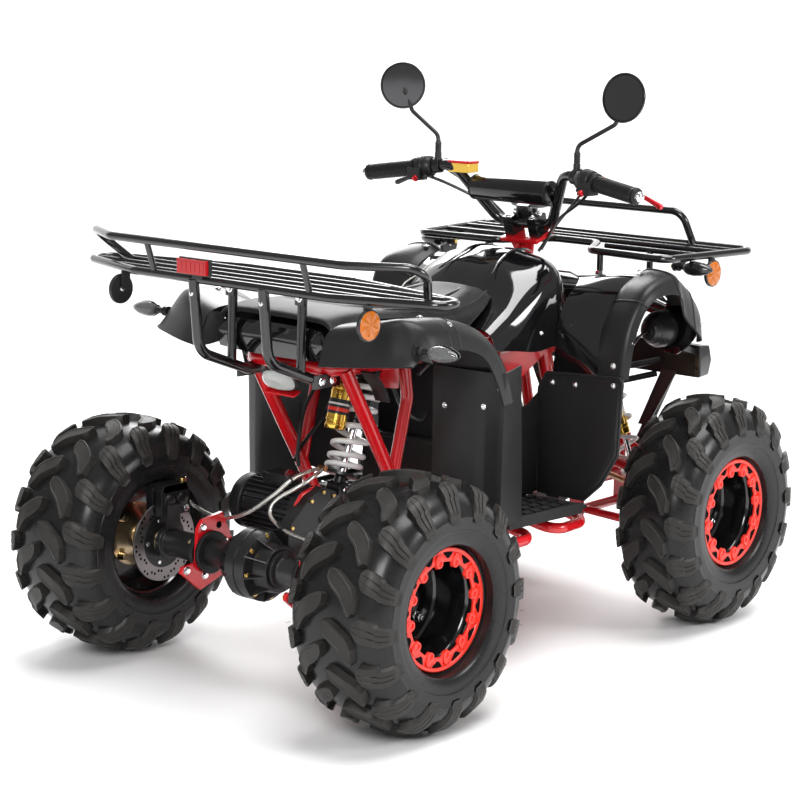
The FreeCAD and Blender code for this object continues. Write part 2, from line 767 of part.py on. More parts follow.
shock_foot = (size("shock_foot_x"), 0, size("shock_foot_z"))
shock_top = (size("shock_top_x"), 0, size("shock_top_z"))
shock_length = (point(shock_top) - point(shock_foot)).Length
spring_r = size("spring_radius")
wire_r = size("spring_wire")
shock_line = point(shock_top) - point(shock_foot)
behind = FreeCAD.Vector(-shock_line.z, 0, shock_line.x).normalize()
body = between(damper(shock_length, num(spring_r) + 6, 19, 8, 15), shock_foot, shock_top)
lower_eye = stud(15, 36, (shock_foot[0], -18, shock_foot[2]))
upper_eye = stud(15, 36, (shock_top[0], -18, shock_top[2]))
tank_foot = point(shock_foot) + shock_line * 0.50 + behind * 66
tank = between(faceted(14, [(0, 0), (16, 0), (21, 6), (21, 88), (16, 94), (0, 94)]), tank_foot,
               tank_foot + shock_line)
strap = Part.makeBox(60, 24, 16, FreeCAD.Vector(0, -12, 0))
strap.Placement = FreeCAD.Placement(point(shock_foot) + shock_line * 0.86 + behind * 60,
                                    FreeCAD.Rotation(FreeCAD.Vector(1, 0, 0), behind * -1))
rear_shock = joined(body, [lower_eye, upper_eye, tank, strap])
node("rear_shock", plain("rear_shock_body", rear_shock))
spring = between(coil(num(spring_r), num(wire_r), shock_length - 78, num(size("spring_turns"))),
                 point(shock_foot) + shock_line / shock_length * 33.3, shock_top)
node("rear_spring", plain("rear_spring_coil", spring))

front_foot = point((972, shock_foot_y, 219.5))
front_top = point((930, 112, 556))
front_line = front_top - front_foot
front_body = between(damper(front_line.Length, 29, 15, 6, 10), front_foot, front_top)
front_eye = stud(10, 24, front_foot - FreeCAD.Vector(12, 0, 0), (1, 0, 0))
top_eye = stud(10, 24, front_top - FreeCAD.Vector(12, 0, 0), (1, 0, 0))
front_shock = joined(front_body, [front_eye, top_eye])
node("front_shocks", fuse("front_shock_pair", both(plain("front_shock", front_shock))))
front_spring = between(coil(24, 4.5, front_line.Length - 78, 6), front_foot + front_line / front_line.Length * 33.3,
                       front_top)
node("front_springs", fuse("front_spring_pair", both(plain("front_spring", front_spring))))

# Rear drive: swing frame, axle tube, gear case and motor

swing = [tube("swing_tube", [(318, 74, 300), (240, 104, 244), (46, 129, 238)], frame_r * 0.86, 80)]
plate = Part.makeBox(112, 8, 110, FreeCAD.Vector(-62, 134, 176))
plate = plate.cut(stud(size("axle_tube") + 0.3, 60, (0, 120, rear_z), sides=16))
swing.append(plain("swing_plate", plate))
swing_side = fuse("swing_side", swing)
pivot = straight("swing_pivot", (318, -78, 300), (318, 78, 300), 12)
bridge = box("swing_bridge", (26, 220, 24), (205, -110, 234))
shock_mount = box("shock_mount", (30, 50, 118.7), (203, -25, 250))
node("swing_frame", fuse("swing_frame_solid", both(swing_side) + [pivot, bridge, shock_mount]))

axle_r = size("axle_tube")
case_half = size("gear_case_half_width")
tube_end = housing_end
axle_left = stud(axle_r, tube_end - num(case_half), (0, case_half, rear_z), sides=16)
shaft_hole = Part.makeCylinder(num(bore + play), 200, FreeCAD.Vector(0, num(rear_y) - 190, num(rear_z)),
                               FreeCAD.Vector(0, 1, 0))
node("axle_housing", fuse("axle_pair", both(plain("axle_left", axle_left.cut(shaft_hole).Solids[0]))))

case_r = size("gear_case_radius")
drum = faceted(16, [(0, -case_half), (46, -case_half), (50, -30), (case_r, -26), (case_r, 26), (50, 30),
                    (46, case_half), (0, case_half)])
drum.Placement.Base = FreeCAD.Vector(0, 0, num(rear_z))
lobe = Part.makeBox(128, 27.7, 96, FreeCAD.Vector(20, -58, num(rear_z) - 20))
lobe = lobe.fuse(stud(48, 27.7, (size("motor_x"), -58, size("motor_z")), sides=14))
node("gear_case", plain("gear_case_solid", joined(drum, [lobe])))

motor_r = size("motor_radius")
motor_left = size("motor_left")
motor_right = size("motor_right")
count = 20
core = [(0, motor_right), (motor_r - 10, motor_right), (motor_r - 10, motor_right + 24), (motor_r - 12, motor_right + 24),
        (motor_r - 12, motor_left - 34), (motor_r - 2, motor_left - 34), (motor_r - 2, motor_left - 6),
        (motor_r - 10, motor_left), (0, motor_left)]
motor_core = faceted(20, core)
fins = []
for i in range(count):
    fin = Part.makeBox(11, num(motor_left - motor_right) - 60, 3,
                       FreeCAD.Vector(num(motor_r) - 13, num(motor_right) + 25, -1.5))
    fin.rotate(FreeCAD.Vector(0, 0, 0), FreeCAD.Vector(0, 1, 0), 360 / count * i)
    fins.append(fin)
motor = joined(motor_core, fins)
node("motor", plain("motor_solid", motor), (size("motor_x"), 0, size("motor_z")))

caliper = Part.makeBox(76, 44, 62, FreeCAD.Vector(-26, 240, 288))
slot = Part.makeBox(120, 8, 45, FreeCAD.Vector(-60, num(rear_y) - 116, 286))
caliper = caliper.cut(slot).Solids[0]
bracket_plate = Part.makeBox(34, 8, 74, FreeCAD.Vector(-17, 232, 238))
bracket_plate = bracket_plate.cut(stud(axle_r + 0.3, 40, (0, 220, rear_z), sides=16))
node("rear_calipers", fuse("caliper_pair", both(plain("caliper", joined(caliper, [bracket_plate])))))

node("battery_box", fuse("battery_pack", [box("battery_lower", (250, 196, 152), (400, -98, 276.3)),
                                          box("battery_upper", (180, 150, 160), (420, -75, 428))]))

# Bodywork: thin panels given by cross-sections, left side first, each corner as (y, z)

doc.recompute()
deck_shape = frame_parts[0].Shape
plate_z = max(topside(deck_shape, x, num(side) + y) for x in (150, 400) for y in (-3, 0, 3)) + 0.3
seat_z = plate_z + 8.3

tail = panel([(30, [(-150, 648), (-128, 664), (0, 668), (128, 664), (150, 648)]),
              (60, [(-150, 650), (-130, 680), (0, 686), (130, 680), (150, 650)]),
              (99.7, [(-150, 652), (-130, 694), (0, 702), (130, 694), (150, 652)])])
seat_plate = box("seat_plate", (400, 236, 8), (90, -118, plate_z))
tail_wall = box("tail_wall", (4, 216, 72), (90, -108, plate_z))
node("rear_fender", fuse("tail", [plain("tail_skin", tail), seat_plate, tail_wall]))


def cushion(x, half, low, high):
    """One cross-section of the seat."""
    return [(x, u, v) for u, v in ((-half + 8, low), (-half, low + 14), (-half + 6, high - 22), (-half + 40, high),
                                   (half - 40, high), (half - 6, high - 22), (half, low + 14), (half - 8, low))]


seat_top = size("seat_height")
seat = skinned([cushion(100, 104, seat_z, seat_top - 12), cushion(150, 138, seat_z, seat_top - 2),
                cushion(220, 147, seat_z, seat_top), cushion(380, 150, seat_z, seat_top - 20),
                cushion(460, 140, 640, seat_top - 20), cushion(520, 122, 661, seat_top - 12),
                cushion(578, 98, 697, seat_top + 4)])
node("seat", plain("seat_cushion", seat))

cover = panel([(x, [(-low_y, low_z), (-side_y, side_z), (-top_y, top_z), (top_y, top_z), (side_y, side_z),
                    (low_y, low_z)])
               for x, low_y, low_z, side_y, side_z, top_y, top_z in
               ((500, 165, 606, 142, 640, 80, 648), (560, 170, 600, 146, 668, 80, 676),
                (620, 174, 592, 152, 714, 72, 744), (715, 172, 602, 152, 752, 66, 778),
                (775, 142, 640, 112, 728, 48, 764))])
node("tank_cover", plain("tank_skin", cover))

rear_flare = shell([[(-9, 156, 635), (0, 215, 640), (20, 275, 645), (36, 314, 648), (50, 332, 650)],
                    [(22, 156, 698), (38, 215, 706), (64, 272, 717), (84, 310, 702), (92, 334, 664)],
                    [(110, 160, 706), (112, 222, 715), (115, 282, 724), (118, 318, 707), (120, 338, 668)],
                    [(190, 172, 692), (190, 234, 704), (190, 290, 717), (192, 322, 700), (192, 338, 664)],
                    [(262, 172, 656), (262, 240, 670), (262, 298, 691), (264, 326, 674), (252, 338, 640)],
                    [(300, 174, 606), (302, 250, 618), (306, 312, 638), (314, 332, 620), (286, 340, 592)],
                    [(322, 176, 552), (322, 260, 554), (328, 318, 558), (346, 333, 548), (304, 343, 546)]])
mud_panel = skinned([[(x, y, z) for x, y in ((299, 176), (300, 300), (311, 336), (404, 300), (402, 296), (311, 331),
                                             (304, 298), (303, 176))]
                     for z in (606,)] +
                    [[(x, y, 360) for x, y in ((300, 176), (300, 300), (310, 330), (420, 296), (418, 292),
                                               (311, 325), (304, 298), (304, 176))]])
flare_set = fuse("rear_flare", [plain("rear_flare_skin", rear_flare), plain("mud_skin", mud_panel)])
node("rear_flares", fuse("rear_flare_pair", both(flare_set)))
guard_y = num(side) + num(frame_r) * math.cos(math.pi / 6) + 0.3
guard = skinned([[(180, guard_y, 430), (180, 172, 430), (184, 172, 430), (184, guard_y, 430)],
                 [(176, guard_y, 520), (176, 172, 520), (180, 172, 520), (180, guard_y, 520)],
                 [(130, guard_y, 606), (130, 172, 606), (134, 172, 606), (134, guard_y, 606)]])
node("inner_mudguards", fuse("guard_pair", both(plain("inner_guard", guard))))

front_flare = shell([[(678.4, 286, 540), (678.4, 300, 540), (678.4, 338, 545), (692, 352, 548)],
                     [(714, 270, 648), (706, 290, 652), (698, 340, 655), (712, 356, 652)],
                     [(745, 270, 690), (738, 290, 697), (720, 346, 702), (732, 362, 692)],
                     [(772, 270, 716), (768, 292, 727), (758, 348, 730), (768, 368, 712)],
                     [(838, 270, 741), (836, 296, 753), (832, 352, 745), (834, 374, 706)],
                     [(864, 270, 732), (862, 298, 743), (860, 352, 732), (856, 372, 648)],
                     [(905, 270, 708), (904, 300, 717), (902, 350, 702), (896, 372, 626)],
                     [(950, 272, 670), (948, 300, 676), (944, 346, 660), (934, 364, 604)],
                     [(968, 276, 636), (964, 300, 636), (952, 340, 618), (938, 350, 596)]])
node("front_flares", fuse("front_flare_pair", both(plain("front_flare", front_flare))))

wing = shell([[(678.4, 172, 540), (678.4, 230, 540), (678.4, 285.7, 540)],
              [(690, 174, 639), (702, 220, 644), (714, 269.7, 648)],
              [(702, 176, 679), (722, 222, 686), (745, 269.7, 690)],
              [(734, 174, 705), (752, 222, 714), (772, 269.7, 716)],
              [(790, 150, 724), (812, 210, 736), (838, 269.7, 741)],
              [(880, 60, 722), (880, 180, 724), (884, 269.7, 720)]])
nose = shell([[(880, y, z) for y, z in ((-269, 720), (-180, 724), (-60, 722), (60, 722), (180, 724), (269, 720))],
              [(950, y, z) for y, z in ((-269, 668), (-180, 690), (-60, 698), (60, 698), (180, 690), (269, 668))],
              [(1040, y, z) for y, z in ((-240, 640), (-170, 660), (-60, 672), (60, 672), (170, 660), (240, 640))],
              [(1074, y, z) for y, z in ((-200, 606), (-140, 624), (-50, 634), (50, 634), (140, 624), (200, 606))]])
node("front_fender", fuse("front_fender_skin", both(plain("wing", wing)) + [plain("nose", nose)]))

shield = skinned([[(x, y, z) for y, z in ((150, 320), (168, 320), (168, 283.3), (198, 283.3), (198, 320),
                                          (296, 320), (342, 392), (350, 553), (153, 535))]
                  for x in (674, 678)])
node("leg_shields", fuse("shield_pair", both(plain("leg_shield", shield))))

board = skinned([[(x, y, z) for x, y in ((430, 125), (430, 300), (640, 330), (674, 318), (676, 206), (712, 196),
                                         (735, 158), (790, 144), (790, 125))] for z in (276.3, 283)])
pegs = [box(f"peg_{i}", (16, 12, 9), (560, 150 + 27 * i, 283)) for i in range(6)]
node("footboards", fuse("board_pair", both(fuse("board", [plain("board_plate", board)] + pegs))))

bumper_x = size("bumper_x")
bumper_y = size("bumper_reach")
bumper_z = size("bumper_height")
cross_bar = skinned([[(x, y, z) for x, z in ((bumper_x - 12, bumper_z - 35), (bumper_x + 24, bumper_z - 32),
                                             (bumper_x + 34, bumper_z), (bumper_x + 24, bumper_z + 32),
                                             (bumper_x - 12, bumper_z + 35))] for y in (-bumper_y, bumper_y)])
legs = both(straight("bumper_leg", (bumper_x, 186, bumper_z - 20), (1088, 74, rail - 12), 12))
legs += both(box("bumper_foot", (12, 30, 36), (1074.3, 57, 245)))
node("front_bumper", fuse("bumper", [plain("bumper_bar", cross_bar)] + legs))

# Racks, of bent rod

rack_r = size("rack_tube")
rail_r = size("rail_tube")
front_rack_z = size("front_rack_height")
front_reach = size("front_rack_reach")
outline = [(840, 330), (1120, front_reach), (1120, -front_reach), (840, -330), (862, -124), (976, -60),
           (976, 60), (862, 124)]
front_parts = [tube("front_loop", [(x, y, front_rack_z) for x, y in outline], rail_r, 22, True)]
for x, half in ((1030, 350), (1075, 356)):
    front_parts.append(straight(f"front_bar_{x}", (x, -half, front_rack_z), (x, half, front_rack_z), rack_r - 1))
hoop_z = size("hoop_height")
front_parts.append(tube("front_hoop", [(1112, 215, front_rack_z), (1085, 200, hoop_z), (1085, -200, hoop_z),
                                       (1112, -215, front_rack_z)], rail_r, 28))
for name, x, y, skin in (("rear_post", 862, 150, wing), ("mid_post", 950, 215, nose)):
    foot_z = max(topside(skin, x + dx, y + dy) for dx, dy in hexagon(7) + hexagon(4) + [(0, 0)]) + 0.4
    front_parts += both(straight(f"front_{name}", (x, y, foot_z), (x, y, front_rack_z), rack_r))
front_parts += both(straight("post_bar", (950, 100, front_rack_z), (950, 342, front_rack_z), rack_r - 1))
node("front_rack", fuse("front_rack_solid", front_parts))

rear_rack_z = size("rear_rack_height")
rear_reach = size("rear_rack_reach")
rear_rail_z = size("rear_rail_height")
outline = [(-80, 255), (-15, rear_reach), (35, rear_reach), (112, 140), (112, -140), (35, -rear_reach),
           (-15, -rear_reach), (-80, -255)]
rear_parts = [tube("rear_loop", [(x, y, rear_rack_z) for x, y in outline], rail_r, 26, True)]
for x, half in ((-40, 370), (0, 446), (40, 430), (80, 266)):
    rear_parts.append(straight(f"rear_bar_{x + 40}", (x, -half, rear_rack_z), (x, half, rear_rack_z), rack_r - 1))
rear_parts.append(tube("rear_rail", [(30, 382, rear_rack_z), (-30, 430, rear_rail_z), (-100, 300, rear_rail_z),
                                     (-100, -300, rear_rail_z), (-30, -430, rear_rail_z),
                                     (30, -382, rear_rack_z)], rail_r, 30))
rear_parts += both(straight("rail_post", (-78, 200, rear_rack_z), (-100, 200, rear_rail_z), rack_r - 1))
rear_parts += both(tube("rack_stay", [(-84, 90, rear_rack_z), (-70, 90, 640), (60, 90, 591.4), (88, 90, 591.4)], rail_r, 34))
rear_parts += both(straight("rack_strut", (20, 90, rear_rack_z), (16, 90, 606), rack_r))
node("rear_rack", fuse("rear_rack_solid", rear_parts))

# Lamps and reflectors

lamp_y = 262
lamp_z = 616
headlight = faceted(16, [(0, 0), (22, 0), (34, 24), (38, 36), (38, 56), (0, 60)])
head_lamp = between(headlight, (884, lamp_y, lamp_z), (984, lamp_y, lamp_z))
lamp_stay = skinned([[(x, y, z), (x, y + 24, z), (x, y + 24, z + 14), (x, y, z + 14)]
                     for x, y, z in ((916, 250, 592), (num(bumper_x) - 12.3, 226, 540))])
node("headlights", fuse("headlight_pair", both(plain("headlight", joined(head_lamp, [lamp_stay])))))

red_plate = box("rear_reflector", (8, 80, 30), (-95.9, 77, 780))
oval = faceted(14, [(0, 0), (34, 0), (40, 8), (36, 16), (0, 18)])
oval = between(oval, (56, 0, 584), (0, 0, 560))
doc.recompute()
lamp_reach = nearest_behind(frame_parts[0].Shape, 0, range(592, 616, 2)) - 0.3
tail_lamp = plain("tail_lamp", joined(oval, [Part.makeBox(lamp_reach - 50, 30, 26, FreeCAD.Vector(50, -15, 590))]))


def round_reflector(name, x, y, z, loop):
    """A round reflector facing sideways under its tab, which hangs from a rack's outer loop."""
    spots = [(x + dx, y + dy) for dx in range(-4, 17, 5) for dy in range(-6, 7, 3)]
    tab_top = min(min(heights(loop, *spot), default=2000) for spot in spots) - 0.3
    disc = faceted(14, [(0, 0), (27, 0), (27, 8), (0, 8)])
    disc.Placement.Base = FreeCAD.Vector(x, y, z)
    tab = Part.makeBox(20, 12, tab_top - z, FreeCAD.Vector(x - 4, y - 6, z))
    return plain(name, joined(disc, [tab]))


rear_disc = round_reflector("rear_disc", -62, 316, 736, rear_parts[0].Shape)
front_disc = round_reflector("front_disc", 975, 352, 738, front_parts[0].Shape)
node("reflectors", fuse("reflector_set", both(rear_disc) + both(front_disc) + [red_plate, tail_lamp]))


def signal_lamp(name, x, y, z, reach, others=()):
    """A turn signal: a slim stalk with a pointed lamp, along Y."""
    lamp = faceted(8, [(0, 0), (6, 0), (6, reach - 66), (15, reach - 52), (17, reach - 34), (7, reach), (0, reach)])
    lamp.Placement.Base = FreeCAD.Vector(x, y, z)
    return plain(name, joined(lamp, list(others)) if others else lamp)


signal_foot = outermost(rear_flare, [(72 + dx, 676 + dz) for dx, dz in hexagon(6)]) + 0.3
rear_signal = signal_lamp("rear_signal", 72, signal_foot, 676, 100)
hanger_top = num(front_rack_z) - (num(rack_r) - 1) * math.cos(math.pi / 6) - 0.3
hanger = Part.makeBox(36, 8, hanger_top - 752, FreeCAD.Vector(918, 302, 752))
front_signal = signal_lamp("front_signal", 922, 296, 752, 124, [hanger])
node("turn_signals", fuse("signal_pair", both(rear_signal) + both(front_signal)))

# Brake hoses of the rear calipers

hose = size("tie_rod_radius") * 0.6
left_hose = tube("left_hose", [(50.4, 250, 338), (84, 250, 344), (112, 196, 400), (126, 138, 466), (140, 138, 552)],
                 hose, 24, sides=6)
node("brake_hoses", fuse("hose_pair", both(left_hose)))

# Brackets from the frame up to the panels they carry; the frame is finished once they are known

def bracket_to(name, shape, x, y, start, half=5):
    """A rod from the frame with an upright stub that ends 0.3 under a panel."""
    top = min(underside(shape, x + dx, y + dy) for dx, dy in hexagon(half)) - 0.3
    return both(straight(name + "_rod", start, (x, y, top - 18), half)) + both(
        straight(name + "_stub", (x, y, top - 24), (x, y, top), half))


frame_parts += bracket_to("wing_bracket", wing, 820, 200, (815, 68, 450))
frame_parts += bracket_to("nose_bracket", nose, 930, 110, (907, 88, 540))
frame_parts += bracket_to("cover_bracket", cover, 690, 60, (690, 74, 674))
frame_parts += bracket_to("flare_bracket", rear_flare, 120, 186, (120, 120, deck))
frame_parts.append(straight("column_bush", on_column(-285), on_column(-249), size("column_radius") + 8, True))
bush_hole = straight("bush_hole", on_column(-320), on_column(-220), size("column_radius") + play, True)
node("frame", cut("frame_cut", fuse("frame_tubes", frame_parts), bush_hole))

doc.recompute()
for obj in doc.Objects:
    if "Invalid" in obj.State or "Error" in obj.State:
        raise RuntimeError(f"{obj.Label}: {obj.State}")
for obj in nodes:
    if obj.Shape.isNull() or not obj.Shape.isValid():
        raise RuntimeError(f"{obj.Label} has no valid shape")
os.makedirs("parts", exist_ok=True)
for obj in nodes:
    obj.Shape.exportStep(f"parts/{obj.Label}.step")
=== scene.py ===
import math
import random

import bmesh
import bpy
from mathutils import Matrix, Vector


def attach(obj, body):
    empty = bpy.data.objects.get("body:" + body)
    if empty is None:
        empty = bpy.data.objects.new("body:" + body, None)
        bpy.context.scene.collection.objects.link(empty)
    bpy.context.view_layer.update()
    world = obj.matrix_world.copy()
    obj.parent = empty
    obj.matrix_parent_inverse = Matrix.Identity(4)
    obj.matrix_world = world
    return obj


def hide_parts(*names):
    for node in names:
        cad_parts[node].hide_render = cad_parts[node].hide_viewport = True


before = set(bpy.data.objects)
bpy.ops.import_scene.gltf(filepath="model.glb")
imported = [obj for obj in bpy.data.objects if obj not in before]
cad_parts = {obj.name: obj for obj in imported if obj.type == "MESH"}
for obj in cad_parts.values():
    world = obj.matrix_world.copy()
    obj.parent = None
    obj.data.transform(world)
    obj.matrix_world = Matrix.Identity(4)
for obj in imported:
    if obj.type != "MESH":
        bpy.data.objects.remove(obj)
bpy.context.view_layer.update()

bl_info = {
    "name": "Quad Bike",
    "version": (1, 0, 0),
    "blender": (4, 5, 0),
    "location": "View3D > Sidebar > Quad Bike",
    "description": "Builds the looks of a quad bike round its solid parts",
    "category": "Add Mesh",
}

AXLE_X = 0.4925  # how far the rear axle stands behind the frame's origin, in metres
AHEAD, ACROSS, UP = (1, 0, 0), (0, 1, 0), (0, 0, 1)


def at(x, y, z):
    """A point in metres from millimetres counted from the rear axle, the middle and the ground."""
    return Vector((x / 1000 - AXLE_X, y / 1000, z / 1000))


def circle(steps, first=0.0):
    """Cosine and sine of equal steps once round, from a first angle in radians."""
    angles = [2 * math.pi * k / steps + first for k in range(steps)]
    return [(math.cos(a), math.sin(a)) for a in angles]


# Finishes

DUST_COLOUR = (0.20, 0.19, 0.17, 1)
DUST_SCALE = 60.0


def node(tree, kind, inputs=None, **settings):
    """The outputs of a new node whose inputs are fed by sockets or plain values."""
    made = tree.nodes.new(f"ShaderNode{kind}")
    for word, value in settings.items():
        setattr(made, word, value)
    for key, value in (inputs or {}).items():
        if isinstance(value, bpy.types.NodeSocket):
            tree.links.new(value, made.inputs[key])
        else:
            made.inputs[key].default_value = value
    return made.outputs


def node_group(name, inputs, outputs):
    """A new shader node group with named sockets: the group, what comes in and what goes out."""
    group = bpy.data.node_groups.new(name, "ShaderNodeTree")
    for word, default in inputs.items():
        kind = "NodeSocketFloat" if isinstance(default, float) else "NodeSocketColor"
        group.interface.new_socket(word, in_out="INPUT", socket_type=kind).default_value = default
    for kind, word in outputs:
        group.interface.new_socket(word, in_out="OUTPUT", socket_type=kind)
    return group, group.nodes.new("NodeGroupInput").outputs, group.nodes.new("NodeGroupOutput").inputs


def math_node(tree, operation, first, second):
    """The result of a Math node."""
    return node(tree, "Math", {0: first, 1: second}, operation=operation)[0]


def noise_of(tree, scale, detail, stretch=None):
    """Noise over the piece's own coordinates."""
    where = node(tree, "TexCoord")["Object"]
    if stretch:
        where = node(tree, "Mapping", {"Vector": where, "Scale": stretch})["Vector"]
    return node(tree, "TexNoise", {"Vector": where, "Scale": scale, "Detail": detail})["Fac"]


def make_mottle_group():
    """Uneven colour and roughness, with a thin film of dust on what faces up."""
    group, source, target = node_group(
        "uneven_surface",
        {"Colour": (0.5, 0.5, 0.5, 1), "Roughness": 0.5, "Shade": 0.1, "Polish": 0.06, "Scale": 14.0, "Dust": 0.0},
        [("NodeSocketColor", "Colour"), ("NodeSocketFloat", "Roughness")])
    fac = noise_of(group, source["Scale"], 6)
    swing = math_node(group, "MULTIPLY", math_node(group, "SUBTRACT", fac, 0.5), NOISE_SWING)
    value = math_node(group, "ADD", math_node(group, "MULTIPLY", swing, source["Shade"]), 1.0)
    tone = node(group, "HueSaturation", {"Value": value, "Color": source["Colour"]})["Color"]
    facing = node(group, "SeparateXYZ", {0: node(group, "NewGeometry")["Normal"]})["Z"]
    upward = math_node(group, "MAXIMUM", facing, 0.0)
    specks = math_node(group, "MULTIPLY", noise_of(group, DUST_SCALE, 8), upward)
    film = math_node(group, "MULTIPLY", specks, source["Dust"])
    mixed = node(group, "Mix", {"Factor": film, 6: tone, 7: DUST_COLOUR}, data_type="RGBA")[2]
    group.links.new(mixed, target["Colour"])
    rough = math_node(group, "ADD", source["Roughness"], math_node(group, "MULTIPLY", swing, source["Polish"]))
    group.links.new(rough, target["Roughness"])
    return group


def make_grain_group():
    """A moulded or coated grain as a height, from fine noise and small cells."""
    group, source, target = node_group(
        "surface_grain", {"Scale": 600.0, "Cells": 0.0}, [("NodeSocketFloat", "Height")])
    fine = noise_of(group, source["Scale"], 3)
    where = node(group, "TexCoord")["Object"]
    cells = node(group, "TexVoronoi", {"Vector": where, "Scale": source["Scale"]})["Distance"]
    share = math_node(group, "MULTIPLY", cells, source["Cells"])
    group.links.new(math_node(group, "ADD", fine, share), target["Height"])
    return group


def make_brushed_group():
    """Fine lines along a turned or drawn metal surface."""
    group, source, target = node_group("drawn_lines", {"Scale": 60.0}, [("NodeSocketFloat", "Height")])
    group.links.new(noise_of(group, source["Scale"], 4, (1.0, 14.0, 1.0)), target["Height"])
    return group


GROUPS = {}
MADE = {}
BUMP_HEIGHT = 0.0001  # metres
BUMP_GAIN = 4
NOISE_SWING = 2.4
HOLE_SHINE, RUBBER_SHINE = 0.04, 0.30
DRAWN_METALS = ("bright_steel", "zinc_plate", "disc_steel", "cast_grey")

# linear colour, roughness, metallic, coat, shade, polish, grain scale, cells, bump, dust
FINISHES = {
    "tyre_rubber": ((0.009, 0.009, 0.0095), 0.27, 0, 0, 0.40, 0.12, 300, 0.3, 0.10, 0.04),
    "worn_rubber": ((0.019, 0.0175, 0.016), 0.46, 0, 0, 0.50, 0.12, 420, 0.6, 0.25, 0.16),
    "soft_rubber": ((0.008, 0.008, 0.0085), 0.44, 0, 0, 0.20, 0.06, 900, 0.5, 0.12, 0.02),
    "rim_black": ((0.005, 0.005, 0.0055), 0.16, 0, 0.6, 0.15, 0.05, 90, 0, 0.02, 0.02),
    "ring_red": ((0.83, 0.026, 0.012), 0.32, 0, 0.1, 0.08, 0.05, 900, 0.2, 0.05, 0.01),
    "frame_red": ((0.60, 0.006, 0.011), 0.24, 0, 0.5, 0.10, 0.05, 140, 0, 0.03, 0.01),
    "zinc_plate": ((0.84, 0.66, 0.42), 0.28, 1, 0, 0.22, 0.10, 320, 0, 0.05, 0),
    "bright_steel": ((0.78, 0.78, 0.79), 0.22, 1, 0, 0.10, 0.08, 400, 0, 0.03, 0),
    "chrome": ((0.86, 0.87, 0.88), 0.07, 1, 0, 0.04, 0.03, 200, 0, 0.01, 0),
    "brass": ((0.72, 0.50, 0.18), 0.28, 1, 0, 0.12, 0.06, 300, 0, 0.03, 0),
    "gloss_powder": ((0.005, 0.005, 0.0055), 0.20, 0, 0.5, 0.15, 0.06, 160, 0, 0.03, 0.01),
    "satin_powder": ((0.010, 0.010, 0.011), 0.38, 0, 0.1, 0.15, 0.06, 500, 0, 0.05, 0.02),
    "grey_paint": ((0.022, 0.022, 0.023), 0.30, 0, 0.2, 0.18, 0.08, 300, 0, 0.05, 0.04),
    "cast_black": ((0.012, 0.012, 0.013), 0.32, 0.3, 0, 0.20, 0.08, 420, 0.3, 0.12, 0.05),
    "cast_grey": ((0.022, 0.022, 0.024), 0.30, 0.4, 0, 0.20, 0.08, 420, 0.3, 0.12, 0.04),
    "gold_anodised": ((0.88, 0.56, 0.10), 0.22, 1, 0, 0.08, 0.05, 300, 0, 0.02, 0),
    "spring_white": ((0.80, 0.80, 0.79), 0.28, 0, 0.3, 0.05, 0.04, 240, 0, 0.02, 0.03),
    "gloss_plastic": ((0.0035, 0.0035, 0.004), 0.08, 0, 0.7, 0.15, 0.04, 60, 0, 0.012, 0),
    "matte_plastic": ((0.014, 0.014, 0.0145), 0.36, 0, 0, 0.14, 0.05, 520, 0.8, 0.12, 0.03),
    "board_plastic": ((0.014, 0.014, 0.015), 0.55, 0, 0, 0.20, 0.06, 500, 0.8, 0.15, 0.10),
    "seat_vinyl": ((0.012, 0.012, 0.013), 0.50, 0, 0, 0.12, 0.05, 620, 1.0, 0.18, 0.02),
    "pad_vinyl": ((0.004, 0.004, 0.0045), 0.14, 0, 0.3, 0.10, 0.05, 240, 0.3, 0.03, 0),
    "mirror_glass": ((0.13, 0.13, 0.135), 0.10, 1, 0, 0.04, 0.01, 100, 0, 0.0, 0),
    "amber_lens": ((0.50, 0.125, 0.002), 0.16, 0, 0.25, 0.06, 0.03, 260, 1.6, 0.20, 0),
    "red_lens": ((0.40, 0.004, 0.006), 0.14, 0, 0.3, 0.06, 0.03, 260, 1.4, 0.16, 0),
    "red_anodised": ((0.66, 0.012, 0.020), 0.24, 0.6, 0.2, 0.06, 0.04, 300, 0, 0.02, 0),
    "display_grey": ((0.34, 0.35, 0.36), 0.28, 0, 0.2, 0.08, 0.04, 500, 0, 0.04, 0.02),
    "screen_dark": ((0.012, 0.014, 0.018), 0.06, 0, 0.8, 0.05, 0.02, 100, 0, 0.0, 0),
    "cable_black": ((0.010, 0.010, 0.011), 0.38, 0, 0.1, 0.10, 0.05, 500, 0, 0.05, 0),
    "wire_orange": ((0.80, 0.30, 0.02), 0.40, 0, 0.1, 0.08, 0.05, 500, 0, 0.04, 0),
    "pale_trim": ((0.62, 0.60, 0.56), 0.40, 0, 0.1, 0.10, 0.05, 300, 0, 0.04, 0.05),
    "band_white": ((0.78, 0.78, 0.76), 0.34, 0, 0.2, 0.05, 0.04, 300, 0, 0.01, 0),
    "disc_steel": ((0.26, 0.24, 0.24), 0.34, 1, 0, 0.14, 0.08, 400, 0, 0.03, 0),
    "lamp_inside": ((0.82, 0.83, 0.82), 0.14, 1, 0, 0.06, 0.05, 240, 0.4, 0.05, 0),
    # This near-black finish is painted shade, laid in holes and pockets in place of the shade inside them
    "painted_hole_shade": ((0.004, 0.004, 0.004), 0.70, 0, 0, 0.10, 0.05, 300, 0, 0.02, 0),
}
COLOUR_WORDS = {"tyre_rubber": "tyre_colour", "ring_red": "ring_colour", "frame_red": "frame_colour",
                "gold_anodised": "damper_colour", "spring_white": "spring_colour", "gloss_plastic": "cover_colour",
                "matte_plastic": "guard_colour", "seat_vinyl": "seat_colour"}


def new_material(name):
    """A new material with its node tree and shader."""
    material = bpy.data.materials.new(name)
    material.use_nodes = True
    return material, material.node_tree, material.node_tree.nodes["Principled BSDF"]


